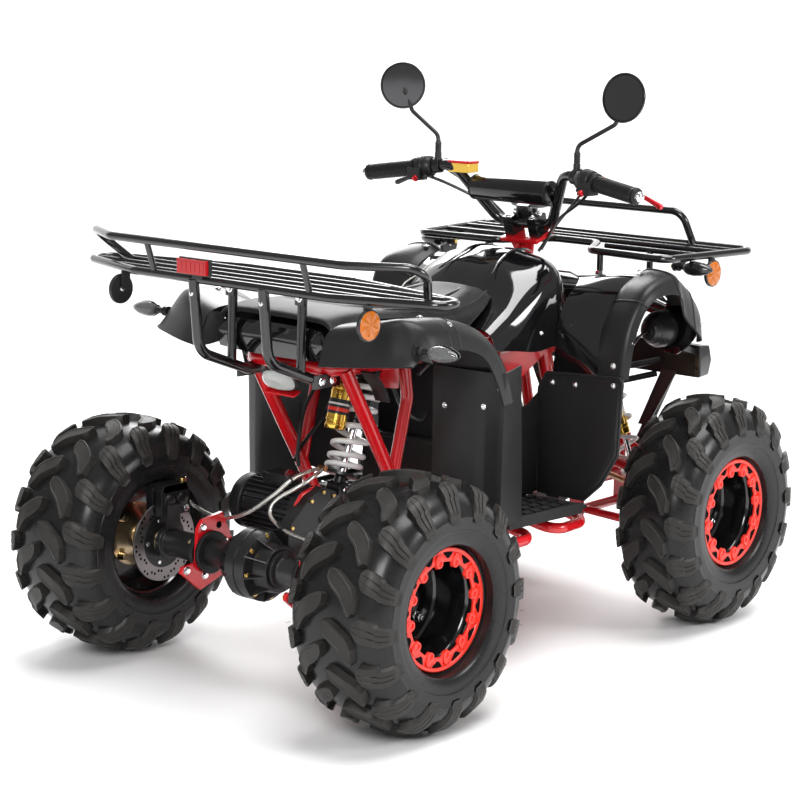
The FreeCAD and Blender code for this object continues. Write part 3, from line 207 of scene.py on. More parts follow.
def uneven(tree, shader, colour, roughness, shade, polish, dust=0.0):
    """Feed colour and roughness through the shared uneven surface."""
    mottle = node(tree, "Group", {"Colour": (*colour, 1), "Roughness": roughness, "Shade": shade, "Polish": polish,
                                  "Dust": dust}, node_tree=GROUPS["uneven"])
    tree.links.new(mottle["Colour"], shader.inputs["Base Color"])
    tree.links.new(mottle["Roughness"], shader.inputs["Roughness"])


def raised(tree, shader, height, strength):
    """Let a height drive the shader's normal."""
    bump = node(tree, "Bump", {"Strength": min(strength * BUMP_GAIN, 1.0), "Distance": BUMP_HEIGHT, "Height": height})
    tree.links.new(bump["Normal"], shader.inputs["Normal"])


def plain_material(name):
    """A material made of one shader, the uneven surface and a grain."""
    colour, roughness, metallic, coat, shade, polish, scale, cells, bump, dust = FINISHES[name]
    if name in COLOUR_WORDS:
        colour = getattr(bpy.context.scene.quad_bike_colours, COLOUR_WORDS[name])
    material, tree, shader = new_material(name)
    shader.inputs["Metallic"].default_value = metallic
    shader.inputs["Coat Weight"].default_value = coat
    shader.inputs["Coat Roughness"].default_value = 0.05
    if not metallic and not coat and roughness > 0.2:
        shader.inputs["Specular IOR Level"].default_value = HOLE_SHINE if name == "painted_hole_shade" else RUBBER_SHINE
    material.diffuse_color = (*colour, 1)
    uneven(tree, shader, colour, roughness, shade, polish, dust)
    if name in DRAWN_METALS:
        grain = node(tree, "Group", {"Scale": scale}, node_tree=GROUPS["brushed"])
    else:
        grain = node(tree, "Group", {"Scale": scale, "Cells": cells}, node_tree=GROUPS["grain"])
    raised(tree, shader, grain["Height"], bump)
    return material


def lens_material(name):
    """A clear lens with a faint unevenness."""
    material, tree, shader = new_material(name)
    shader.inputs["Transmission Weight"].default_value = 0.9
    shader.inputs["IOR"].default_value = 1.45
    uneven(tree, shader, (0.93, 0.95, 0.94), 0.05, 0.03, 0.02)
    raised(tree, shader, node(tree, "Group", {"Scale": 140}, node_tree=GROUPS["grain"])["Height"], 0.05)
    return material


def braid_material(name):
    """Woven steel wire on a hose: two crossing sets of ridges."""
    material, tree, shader = new_material(name)
    shader.inputs["Metallic"].default_value = 1
    uneven(tree, shader, (0.80, 0.78, 0.73), 0.30, 0.25, 0.10)
    where = node(tree, "TexCoord")["Object"]
    heights = []
    for turn in (0.8, -0.8):
        turned = node(tree, "Mapping", {"Vector": where, "Rotation": (turn, turn, turn)})["Vector"]
        heights.append(node(tree, "TexWave", {"Vector": turned, "Scale": 420})["Fac"])
    raised(tree, shader, math_node(tree, "MAXIMUM", *heights), 0.2)
    return material


def make_groups():
    """Make the shared groups the first time they are asked for."""
    if not GROUPS:
        GROUPS.update(uneven=make_mottle_group(), grain=make_grain_group(), brushed=make_brushed_group())


def finish_of(name):
    """The material of that name, made the first time it is asked for."""
    make_groups()
    if name not in MADE:
        maker = {"clear_lens": lens_material, "steel_braid": braid_material}.get(name, plain_material)
        MADE[name] = maker(name)
        MADE[name].name = f"{name}_finish"
    return MADE[name]


# Shapes

ARC_STEP = 9  # degrees between the points of a bend


def rounded(points, bend, closed=False):
    """A line whose corners are taken in arcs of one radius."""
    line = []
    count = len(points)
    for index, corner in enumerate(points):
        if not closed and index in (0, count - 1):
            line.append(corner.copy())
            continue
        back = points[index - 1] - corner
        ahead = points[(index + 1) % count] - corner
        turn = math.pi - back.angle(ahead)
        if turn < 0.03:
            line.append(corner.copy())
            continue
        reach = min(bend * math.tan(turn / 2), back.length * 0.49, ahead.length * 0.49)
        radius = reach / math.tan(turn / 2)
        back.normalize()
        ahead.normalize()
        start = corner + back * reach
        centre = corner + (back + ahead).normalized() * (radius / math.cos(turn / 2))
        axis = (start - centre).cross(corner + ahead * reach - centre).normalized()
        steps = max(2, round(math.degrees(turn) / ARC_STEP))
        for k in range(steps + 1):
            line.append(centre + Matrix.Rotation(turn * k / steps, 3, axis) @ (start - centre))
    return line


def eased(points, steps, sharp=()):
    """A smooth line through points, straight-cornered where an index is in sharp."""
    line = []
    last = len(points) - 1
    for i in range(last):
        p1, p2 = points[i], points[i + 1]
        p0 = points[i - 1] if i > 0 and i not in sharp else p1 * 2 - p2
        p3 = points[i + 2] if i + 2 <= last and i + 1 not in sharp else p2 * 2 - p1
        for k in range(steps):
            t = k / steps
            line.append(0.5 * (p1 * 2 + (p2 - p0) * t + (p0 * 2 - p1 * 5 + p2 * 4 - p3) * t * t
                               + (p1 * 3 - p0 - p2 * 3 + p3) * t * t * t))
    line.append(points[last].copy())
    return line


def both_sides(half):
    """Pairs (across, height) of one side, from the edge inwards, and their mirror image."""
    return [(-y, z) for y, z in half] + [(y, z) for y, z in reversed(half)]


def around(x, y, z, radius, steps, first):
    """Millimetre points on a circle about an axle that runs across."""
    return [(x + radius * c, y, z + radius * s) for c, s in circle(steps, first)]


class Build:
    """Gathers the faces of one piece, then hands it over as a finished object."""

    def __init__(self, name, finish):
        self.name = name
        self.finishes = [finish]
        self.verts = []
        self.faces = []
        self.slots = []
        self.current = 0

    def use(self, finish):
        """Give what follows another finish."""
        if finish not in self.finishes:
            self.finishes.append(finish)
        self.current = self.finishes.index(finish)

    def add(self, verts, faces):
        """Take up points and the faces between them."""
        start = len(self.verts)
        self.verts += verts
        self.faces += [tuple(start + i for i in face) for face in faces]
        self.slots += [self.current] * len(faces)

    def mark(self):
        """How far the piece has come, for mirror."""
        return len(self.verts), len(self.faces)

    def mirror(self, mark=(0, 0)):
        """Repeat what was added since a mark on the vehicle's other side."""
        first, first_face = mark
        start = len(self.verts)
        self.verts += [Vector((v.x, -v.y, v.z)) for v in self.verts[first:]]
        for face, slot in list(zip(self.faces, self.slots))[first_face:]:
            self.faces.append(tuple(start + i - first for i in reversed(face)))
            self.slots.append(slot)

    def loft(self, rings, closed=True, ends=True):
        """Skin between rings of equal point count."""
        sides = len(rings[0])
        faces = []
        for r in range(len(rings) - 1):
            for i in range(sides if closed else sides - 1):
                j = (i + 1) % sides
                faces.append((r * sides + i, r * sides + j, (r + 1) * sides + j, (r + 1) * sides + i))
        if ends:
            faces.append(tuple(reversed(range(sides))))
            faces.append(tuple((len(rings) - 1) * sides + i for i in range(sides)))
        self.add([Vector(p) for ring in rings for p in ring], faces)

    def sweep(self, line, radius, sides=16, closed=False):
        """A round bar along a line; radius is one number or one for each point."""
        count = len(line)
        radii = radius if isinstance(radius, list) else [radius] * count
        normal = (line[1] - line[0]).orthogonal().normalized()
        rings = []
        for i, spot in enumerate(line):
            before = line[i - 1] if i or closed else spot
            after = line[(i + 1) % count] if i < count - 1 or closed else spot
            tangent = (after - before).normalized()
            normal = (normal - tangent * normal.dot(tangent)).normalized()
            side = tangent.cross(normal)
            rings.append([spot + (normal * c + side * s) * radii[i] for c, s in circle(sides)])
        if closed:
            rings.append(rings[0])
        self.loft(rings, ends=not closed)

    def tube(self, points, radius, bend=30, closed=False, sides=16):
        """A bent tube through corners in millimetres."""
        line = rounded([at(*p) for p in points], bend / 1000, closed)
        self.sweep(line, radius / 1000, sides, closed)

    def cord(self, points, radius, sides=8):
        """A thin smooth wire through points in millimetres."""
        self.sweep(eased([at(*p) for p in points], 6), radius / 1000, sides)

    def turned(self, start, heading, profile, sides, loop=False):
        """Turned about a line; the profile gives (distance along, radius) in millimetres."""
        heading = Vector(heading).normalized()
        normal = heading.orthogonal().normalized()
        side = heading.cross(normal)
        rings = []
        for along, radius in profile + (profile[:1] if loop else []):
            spot = start + heading * (along / 1000)
            reach = max(radius, 0.02) / 1000
            rings.append([spot + (normal * c + side * s) * reach for c, s in circle(sides)])
        self.loft(rings, ends=not loop)

    def band(self, start, heading, low, high, inner, outer, sides=96):
        """A turned ring between two distances and two radii in millimetres."""
        self.turned(start, heading, [(low, inner), (low, outer), (high, outer), (high, inner)], sides, loop=True)

    def slab(self, corners, push):
        """A flat plate of any outline, given by its corners and its thickness as a move."""
        push = Vector(push) / 1000
        ring = [at(*c) for c in corners]
        self.loft([ring, [p + push for p in ring]])

    def block(self, low, spans):
        """A box from its low corner and its spans, in millimetres."""
        x, y, z = low
        dx, dy, dz = spans
        ring = [Vector(p) for p in ((x, y, z), (x + dx, y, z), (x + dx, y + dy, z), (x, y + dy, z))]
        self.loft([[at(*p) for p in row] for row in (ring, [p + Vector((0, 0, dz)) for p in ring])])

    def washer(self, spot, heading, size):
        """A washer for a bolt or screw of that size."""
        self.turned(spot, heading, [(-1, size * 1.35), (0.8, size * 1.35), (1.2, size * 1.25)], 20)

    def bolt(self, spot, heading, size=6, washer=True):
        """A six-sided bolt head, with its washer where asked, standing on a point in millimetres."""
        spot = at(*spot)
        if washer:
            self.washer(spot, heading, size)
        height = size * 0.75
        self.turned(spot, heading, [(0.5, size), (height, size), (height + 0.8, size * 0.86)], 6)

    def screw(self, spot, heading, size):
        """A round screw head with a socket and a washer, standing on a point in millimetres."""
        spot = at(*spot)
        self.washer(spot, heading, size)
        height = size * 0.75
        self.turned(spot, heading, [(0.5, size), (height * 0.5, size * 0.95), (height * 0.9, size * 0.6),
                                    (height * 0.9, size * 0.35), (height * 0.4, size * 0.3)], 16)

    def groove(self, points, radius, steps=6, lift=(0, 0, 0)):
        """A thin bar of a radius in metres, eased through points in metres and lifted."""
        self.sweep([p + Vector(lift) for p in eased(points, steps)], radius, 8)

    def skin(self, rows, thickness=4, steps=(4, 4), sharp_rows=(), sharp=()):
        """A smooth thin panel through rows of points on its outer face."""
        grid = [eased([at(*p) for p in row], steps[1], sharp) for row in rows]
        columns = [eased([row[j] for row in grid], steps[0], sharp_rows) for j in range(len(grid[0]))]
        outer = [[column[i] for column in columns] for i in range(len(columns[0]))]
        last_row = len(outer) - 1
        last = len(outer[0]) - 1
        inner = []
        for i, row in enumerate(outer):
            for j, spot in enumerate(row):
                ahead = outer[min(i + 1, last_row)][j] - outer[max(i - 1, 0)][j]
                beside = row[min(j + 1, last)] - row[max(j - 1, 0)]
                inner.append(spot - ahead.cross(beside).normalized() * (thickness / 1000))
        width = last + 1
        size = len(inner)
        faces = []
        for i in range(last_row):
            for a in range(i * width, i * width + last):
                faces.append((a, a + width, a + width + 1, a + 1))
                faces.append((a + size, a + 1 + size, a + width + 1 + size, a + width + size))
        for i in range(last_row):
            for a in (i * width, i * width + last):
                faces.append((a, a + width, a + width + size, a + size))
        for j in range(last):
            for a in (j, last_row * width + j):
                faces.append((a, a + 1, a + 1 + size, a + size))
        self.add([p for row in outer for p in row] + inner, faces)

    def place(self, body, slot=None, replaces=(), bevel=0.0, angle=38):
        """Make the object, ride it on its body and hide the solid parts it replaces."""
        mesh = bpy.data.meshes.new(self.name)
        mesh.from_pydata(self.verts, [], self.faces)
        for finish in self.finishes:
            mesh.materials.append(finish_of(finish))
        mesh.polygons.foreach_set("material_index", self.slots)
        made = bmesh.new()
        made.from_mesh(mesh)
        bmesh.ops.recalc_face_normals(made, faces=made.faces)
        for face in made.faces:
            face.smooth = True
        for edge in made.edges:
            if edge.is_manifold and edge.calc_face_angle(0) > math.radians(angle):
                edge.smooth = False
        made.to_mesh(mesh)
        made.free()
        piece = bpy.data.objects.new(self.name, mesh)
        bpy.context.scene.collection.objects.link(piece)
        if bevel:
            modifier = piece.modifiers.new("rounded_edges", "BEVEL")
            modifier.width = bevel / 1000
            modifier.segments = 2
            modifier.limit_method = "ANGLE"
            modifier.angle_limit = math.radians(angle)
            modifier.use_clamp_overlap = True
        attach(piece, body)
        if replaces:
            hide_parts(*replaces)
        return piece


# What a user would change

def length_property(name, description, default):
    """A length in metres."""
    return bpy.props.FloatProperty(name=name, description=description, default=default, unit="LENGTH")


class QuadBikeSizes(bpy.types.PropertyGroup):
    """Sizes of the parts that can be changed without the solids."""

    lug_depth: length_property("Lug depth", "Height of the tread lugs over the carcass", 0.015)
    lug_pitches: bpy.props.IntProperty(name="Lug pitches", description="Lugs in one row round a tyre", default=16)
    frame_tube: length_property("Frame tube radius", "Outer radius of the frame tubes", 0.014)
    rack_tube: length_property("Rack rod radius", "Radius of the racks' outer rods", 0.008)
    spring_wire: length_property("Spring wire radius", "Radius of the rear spring's wire", 0.0055)
    seat_swell: length_property("Seat swell", "How far the seat's cover may swell", 0.006)
    lens: bpy.props.FloatProperty(name="Camera lens", description="Focal length on a 36 mm sensor, in millimetres",
                                  default=102.9)


def colour_property(name, description, default):
    """A colour of three linear channels."""
    return bpy.props.FloatVectorProperty(name=name, description=description, default=default, subtype="COLOR",
                                         size=3, min=0, max=1)


class QuadBikeColours(bpy.types.PropertyGroup):
    """Colours of the main finishes."""

    tyre_colour: colour_property("Tyres", "Rubber of the four tyres", (0.009, 0.009, 0.0095))
    ring_colour: colour_property("Bead rings", "Rings on the rims' outer edges", (0.83, 0.026, 0.012))
    frame_colour: colour_property("Frame", "Powder coat of the frame", (0.60, 0.006, 0.011))
    damper_colour: colour_property("Dampers", "Anodised damper bodies", (0.88, 0.56, 0.10))
    spring_colour: colour_property("Springs", "Coated coil springs", (0.80, 0.80, 0.79))
    cover_colour: colour_property("Covers", "Gloss body panels", (0.0035, 0.0035, 0.004))
    guard_colour: colour_property("Guards", "Matt mudguards and shields", (0.014, 0.014, 0.0145))
    seat_colour: colour_property("Seat", "Seat cover", (0.012, 0.012, 0.013))


def sizes():
    """The sizes that the scene holds."""
    return bpy.context.scene.quad_bike_sizes


# Wheels: (axle x, wheel middle y, axle z, tyre radius, tyre half width, rim half width)

AXLE_Z = 235
WHEELS = {"rear": (0, 374, AXLE_Z, 235, 112, 76), "front": (980, 358, 240, 240, 91, 64)}
BEAD = 114  # radius of the tyre's inner edge


def wheel_point(end, radius, offset, angle):
    """A point on the left wheel from its radius, outward offset and angle in degrees."""
    x, y, z = WHEELS[end][:3]
    turn = math.radians(angle)
    return at(x + radius * math.cos(turn), y + offset, z + radius * math.sin(turn))


def other_side(piece, name, body, replaces):
    """The right wheel's piece as the mirror image of the left one's."""
    mesh = piece.data.copy()
    mesh.name = name
    mesh.transform(Matrix.Scale(-1, 4, (0, 1, 0)))
    mesh.flip_normals()
    made = bpy.data.objects.new(name, mesh)
    bpy.context.scene.collection.objects.link(made)
    for source in piece.modifiers:
        copy = made.modifiers.new(source.name, source.type)
        for word in ("width", "segments", "limit_method", "angle_limit"):
            setattr(copy, word, getattr(source, word))
    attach(made, body)
    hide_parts(replaces)


def wheel_piece(build, end, kind, slot, bevel=0.0, angle=38):
    """Place a left wheel piece and its right-hand twin."""
    left = build.place(f"wheel_{end}_left", slot, (f"{kind}_{end}_left",), bevel, angle)
    other_side(left, build.name.replace("left", "right"), f"wheel_{end}_right", f"{kind}_{end}_right")


def carcass(end):
    """The tyre's section without lugs, from the middle outwards: (offset, radius)."""
    radius, half, rim_half = WHEELS[end][3:]
    floor = radius - sizes().lug_depth * 1000
    return [(0, floor), (half * 0.34, floor - 1.2), (half * 0.58, floor - 5), (half * 0.76, floor - 12),
            (half - 12, floor - 24), (half - 5, floor - 37), (half - 2.2, floor - 48), (half - 1.2, floor - 49),
            (half - 1.0, floor - 50.5), (half - 1.4, floor - 52), (half - 1.2, floor - 62), (half - 2.6, 149),
            (half - 3.8, 148), (half - 4.4, 146), (half - 5.2, 140), (half - 6.6, 133), (half - 8.6, 126),
            (half - 10.4, 122), (half - 13, 119.6), (rim_half + 4, 117.4), (rim_half + 2, 115.5), (rim_half, BEAD)]


def ground_radius(end, offset):
    """The carcass radius at an offset, on the tread and shoulder."""
    line = carcass(end)
    for (y0, r0), (y1, r1) in zip(line, line[1:]):
        if y0 <= offset <= y1:
            return r0 + (r1 - r0) * (offset - y0) / max(y1 - y0, 0.01)
    return line[10][1]


def eased_rows(rows, steps):
    """Rows of numbers with smooth rows between them."""
    line = []
    last = len(rows) - 1
    for i in range(last):
        near = (rows[max(i - 1, 0)], rows[i], rows[i + 1], rows[min(i + 2, last)])
        for k in range(steps):
            t = k / steps
            line.append(tuple(0.5 * (2 * b + (c - a) * t + (2 * a - 5 * b + 4 * c - d) * t * t
                                     + (3 * b - a - 3 * c + d) * t ** 3) for a, b, c, d in zip(*near)))
    line.append(rows[-1])
    return line


LUG_DRAFT = 0.55  # degrees that a lug's foot is wider at each side
LUG_SPREAD = 2.2  # millimetres that a lug's ends run out into the carcass
SLIT_START = 0.38  # share of a lug's length where its slits begin
SHALLOW = 1.2  # millimetres that the top may dip before that
WHISKERS = 70


def lug(build, end, stations, columns):
    """One tread lug over stations (offset, foot radius, top radius, first angle, last angle)."""
    stations = eased_rows(stations, 3)
    last = len(stations) - 1
    outwards = abs(stations[0][0]) < abs(stations[last][0])

    def end_row(station, push):
        offset, foot, _, low, high = station
        count = len(columns) + 1
        return [wheel_point(end, foot, offset + push, low - LUG_DRAFT + (high - low + 2 * LUG_DRAFT) * k / count)
                for k in range(count + 1)]

    rings = [end_row(stations[0], -LUG_SPREAD)]
    for s, (offset, foot, top, low, high) in enumerate(stations):
        along = s / last if outwards else 1 - s / last
        push = {0: -LUG_SPREAD, last: LUG_SPREAD}.get(s, 0)
        ring = [wheel_point(end, foot, offset + push * (stations[last][0] > stations[0][0]), low - LUG_DRAFT)]
        for share, drop in columns:
            depth = 0 if s in (0, last) else drop if along > SLIT_START else min(drop, SHALLOW)
            ring.append(wheel_point(end, top - depth, offset, low + (high - low) * share))
        ring.append(wheel_point(end, foot, offset + push, high + LUG_DRAFT))
        rings.append(ring)
    build.loft(rings + [end_row(stations[last], LUG_SPREAD)], closed=False, ends=False)


# share of the half width, step beyond it, rise, first angle, last angle
INNER_LUG = ((0, 2, 15, -3.4, 0.6), (0.10, 0, 15, -3.8, 3.8), (0.22, 0, 15, -2.4, 6.2), (0.34, 0, 15, -0.4, 8.8),
             (0.44, 0, 15, 1.6, 13.0), (0.51, 0, 14.5, 3.6, 15.4), (0.57, 0, 14, 7.4, 13.6))
OUTER_LUG = ((0.60, 0, 14, -4.4, -0.8), (0.66, 0, 14, -6.6, 2.8), (0.76, 0, 14, -6.2, 4.2),
             (0.87, 0, 13, -4.8, 5.4), (1, -11, 11.5, -3.4, 6.4))
# step beyond the half width, foot and top below the tyre's radius, first angle, last angle
LUG_WRAP = ((-5, 56, 39, -2.4, 6.8), (1, 68, 53, -1.4, 6.6), (0.5, 74, 68, 0.2, 5.2))


class QUADBIKE_OT_tyres(bpy.types.Operator):
    """Build the four knobby tyres"""

    bl_idname = "quad_bike.tyres"
    bl_label = "Tyres"

    def execute(self, context):
        pitches = sizes().lug_pitches
        pitch = 360 / pitches
        plain = [(0, 0.6), (0.03, 0), (0.11, 0), (0.14, 1.2), (0.82, 1.2), (0.86, 0), (0.97, 0), (1, 0.6)]
        slit = [(0, 0.6), (0.04, 0), (0.30, 0), (0.32, 4), (0.37, 4), (0.39, 0), (0.61, 0), (0.63, 4), (0.68, 4),
                (0.70, 0), (0.96, 0), (1, 0.6)]
        chance = random.Random(4)
        for end, (x, y, z, radius, half, edge) in WHEELS.items():
            build = Build(f"tyre_{end}_left_rubber", "tyre_rubber")
            section = carcass(end)
            whole = [(-o, r) for o, r in reversed(section)] + section[1:]
            whole += [(edge - 8, BEAD - 1), (edge - 12, BEAD + 8), (-edge + 12, BEAD + 8), (-edge + 8, BEAD - 1)]
            build.turned(at(x, y, z), ACROSS, whole, 144, loop=True)
            for side in (1, -1):
                for index in range(pitches):
                    base = index * pitch + (pitch / 2 if side < 0 else 0)

                    def station(offset, rise, low, high):
                        """One station of a lug that stands on the carcass and stays within the tyre."""
                        ground = ground_radius(end, abs(offset))
                        return side * offset, ground - 3, min(ground + rise, radius), base + low, base + high

                    inner, outer = [[station(half * share + step, rise, low, high)
                                     for share, step, rise, low, high in rows] for rows in (INNER_LUG, OUTER_LUG)]
                    outer += [(side * (half + step), radius - foot, radius - top, base + low, base + high)
                              for step, foot, top, low, high in LUG_WRAP]
                    build.use("worn_rubber")
                    for stations, columns in ((inner, plain), (outer, slit)):
                        if side < 0:
                            stations = stations[::-1]
                        lug(build, end, stations, columns)
            build.use("tyre_rubber")
            for _ in range(WHISKERS):
                turn = chance.uniform(-55, 235)
                offset = chance.choice((-1, 1)) * half * chance.choice((0.3, 0.55, 0.92))
                foot = wheel_point(end, ground_radius(end, abs(offset)) + 8, offset, turn)
                away = wheel_point(end, radius + 60, offset * 1.15, turn) - foot
                build.turned(foot, away, [(0, 0.5), (6 + chance.uniform(0, 7), 0.25)], 4)
            wheel_piece(build, end, "tyre", "tyre_rubber", angle=30)
        return {"FINISHED"}


RING_STEPS = 288
RING_INNER, RING_TOOTH = 86.5, 8.5
BEAD_BOLTS, FIRST_BOLT = 12, 8
TEAR_REACH = 86.8
TEAR_LAYERS = ((3.6, 1.0, None), (6.4, 1.0, None), (7.0, 0.93, None), (7.0, 0, 5.4), (6.2, 0, 4.7), (1.4, 0, 4.4))
# Outline of a near-black sheet in each pocket of the bead ring: painted shade in place of the pocket's depth
POCKET_SHADE_OUTLINE = ((93.0, -2.0), (93.0, 2.0), (99.5, 5.2), (106.6, 8.4), (107.4, 0), (106.6, -8.4), (99.5, -5.2))


def tear_outline(scale, hole):
    """Radius and way across of one outline of a bead bolt's pad, or of the hole in it."""
    outline = []
    for k in range(24):
        c, s = math.cos(math.radians(15 * k)), math.sin(math.radians(15 * k))
        if hole is not None:
            outline.append((TEAR_REACH + hole * c, hole * s))
            continue
        reach = 9.0 + 9.5 * max(0.0, c) ** 3
        radius, across = TEAR_REACH + reach * c, reach * s * (1.0 if c < 0 else 1.08)
        outline.append((TEAR_REACH + (radius - TEAR_REACH) * scale, across * scale))
    return outline


class QUADBIKE_OT_rims(bpy.types.Operator):
    """Build the rims, their bead rings and valves"""

    bl_idname = "quad_bike.rims"
    bl_label = "Rims and bead rings"

    def execute(self, context):
        for end, (x, y, z, _, _, edge) in WHEELS.items():
            build = Build(f"rim_{end}_left_barrel", "rim_black")
            centre = at(x, y, z)
            barrel = [(edge, 112.8), (edge, 108), (edge - 4, 105), (edge - 15, 103.5), (edge - 20, 96),
                      (edge - 26, 94), (-14, 94), (-18, 90), (-20, 60), (-14, 50), (-14, 15.6), (-25, 15.6),
                      (-25, 52), (-26, 88), (-24, 98), (-edge + 22, 98), (-edge + 14, 107), (-edge + 2, 108.5),
                      (-edge, 112.8), (-edge + 3, 113), (-edge + 15, 110), (-edge + 23, 101), (edge - 24, 98),
                      (edge - 15, 108), (edge - 3, 113)]
            build.turned(centre, ACROSS, barrel, 96, loop=True)
            # Near-black discs on the rim's web: painted shade standing in for its holes
            build.use("painted_hole_shade")
            for index in range(6):
                build.turned(wheel_point(end, 72, -20.6, index * 60 + 15), ACROSS, [(0, 9.5), (1.2, 9.5)], 24)
            stem = wheel_point(end, 90, -2, 200)
            inward = centre - wheel_point(end, 90, 0, 200) + Vector((0, 0.05, 0))
            build.use("brass")
            build.turned(stem, inward, [(-4, 4), (2, 4), (2.5, 3), (16, 2.8), (16, 3.2)], 16)
            build.use("band_white")
            build.turned(stem + inward.normalized() * 0.016, inward, [(0, 3.6), (6, 3.6), (7, 2.6)], 16)
            wheel_piece(build, end, "rim", "rim_black", 0.6)

            ring = Build(f"bead_ring_{end}_left_plate", "ring_red")
            rings = []
            for k in range(RING_STEPS):
                turn = k * 360 / RING_STEPS
                swing = abs((turn - FIRST_BOLT + 15) % 30 - 15)
                inner = RING_INNER - RING_TOOTH * max(0.0, min(1.0, (7.2 - swing) / 2.4))
                section = [(inner, 0), (inner, 3.6), (inner + 1.2, 4.6), (97, 4.6), (100, 3.4), (104, 3.4),
                           (105.5, 6.2), (111, 6.6), (112.6, 5.4), (113, 0)]
                rings.append([wheel_point(end, reach, edge + lift, turn) for reach, lift in section])
            ring.loft(rings + rings[:1], ends=False)
            for index in range(BEAD_BOLTS):
                turn = index * 30 + FIRST_BOLT
                rings = []
                for lift, scale, hole in TEAR_LAYERS:
                    rings.append([wheel_point(end, reach, edge + lift, turn + math.degrees(across / reach))
                                  for reach, across in tear_outline(scale, hole)])
                ring.use("ring_red")
                ring.loft(rings)
                # A near-black sheet in the pocket between two bolts: painted shade
                ring.use("painted_hole_shade")
                ring.loft([[wheel_point(end, reach, edge + lift, turn + 15 + swing) for reach, swing in POCKET_SHADE_OUTLINE]
                           for lift in (3.0, 4.9)])
            ring.use("rim_black")
            ring.turned(centre, ACROSS, [(edge - 1.6, 90), (edge - 0.1, 90), (edge - 0.1, 111), (edge - 1.6, 111)],
                        96, loop=True)
            wheel_piece(ring, end, "bead_ring", "frame_red", 0.7)
        return {"FINISHED"}


class QUADBIKE_OT_hubs(bpy.types.Operator):
    """Build the hubs, brake discs, wheel nuts and driven shafts"""

    bl_idname = "quad_bike.hubs"
    bl_label = "Hubs and brake discs"

    def execute(self, context):
        for end in WHEELS:
            rear = end == "rear"
            disc_r, disc_at = (81, -114) if rear else (82, -57)
            inner_end = -120 if rear else -62
            centre = at(*WHEELS[end][:3])
            build = Build(f"hub_{end}_left_flange", "zinc_plate")
            flange = [(inner_end, 15.2), (inner_end, 26), (inner_end + 2, 27), (disc_at + 8, 27), (-46, 24), (-44, 34),
                      (-30, 50), (-28, 64), (-25.2, 64), (-25.2, 15.2)]
            build.turned(centre, ACROSS, flange, 48, loop=True)
            nut = [(0, 11), (1.6, 11), (1.6, 8.6), (9, 8.6), (11, 7), (11, 5), (15, 5), (16, 4)]
            for turn in (45, 135, 225, 315):
                build.use("zinc_plate")
                build.turned(wheel_point(end, 55, -46, turn), ACROSS, [(0, 7), (18, 9), (20, 9)], 20)
                build.use("bright_steel")
                build.turned(wheel_point(end, 55, -14, turn), ACROSS, nut, 6)
            build.use("disc_steel")
            build.band(centre, ACROSS, disc_at, disc_at + 4, 54, disc_r)
            build.use("cast_black")
            build.band(centre, ACROSS, disc_at + 0.5, disc_at + 3.5, 26, 57)
            build.use("bright_steel")
            for index in range(5):
                build.turned(wheel_point(end, 44, disc_at - 1.5, index * 72 + 36), ACROSS, [(0, 4.4), (2, 4.8)], 6)
            # Near-black plugs filling the disc's holes: painted shade in place of what shows through them
            build.use("painted_hole_shade")
            for index in range(24):
                reach = (disc_r - 6, disc_r - 13, disc_r - 20)[index % 3]
                for turn in (index * 15, index * 15 + 7.5):
                    build.turned(wheel_point(end, reach, disc_at - 0.15, turn), ACROSS, [(0, 3.0), (4.3, 3.0)], 12)
            build.use("cast_black")
            build.turned(centre, ACROSS, [(-14, 32), (-6, 31), (4, 27), (8, 20), (9, 12), (6, 9)], 32)
            if rear:
                build.use("bright_steel")
                build.turned(centre, ACROSS, [(-184, 14.9), (-118, 14.9)], 32)
            wheel_piece(build, end, "hub", "zinc", 0.5)
        return {"FINISHED"}


# Frame

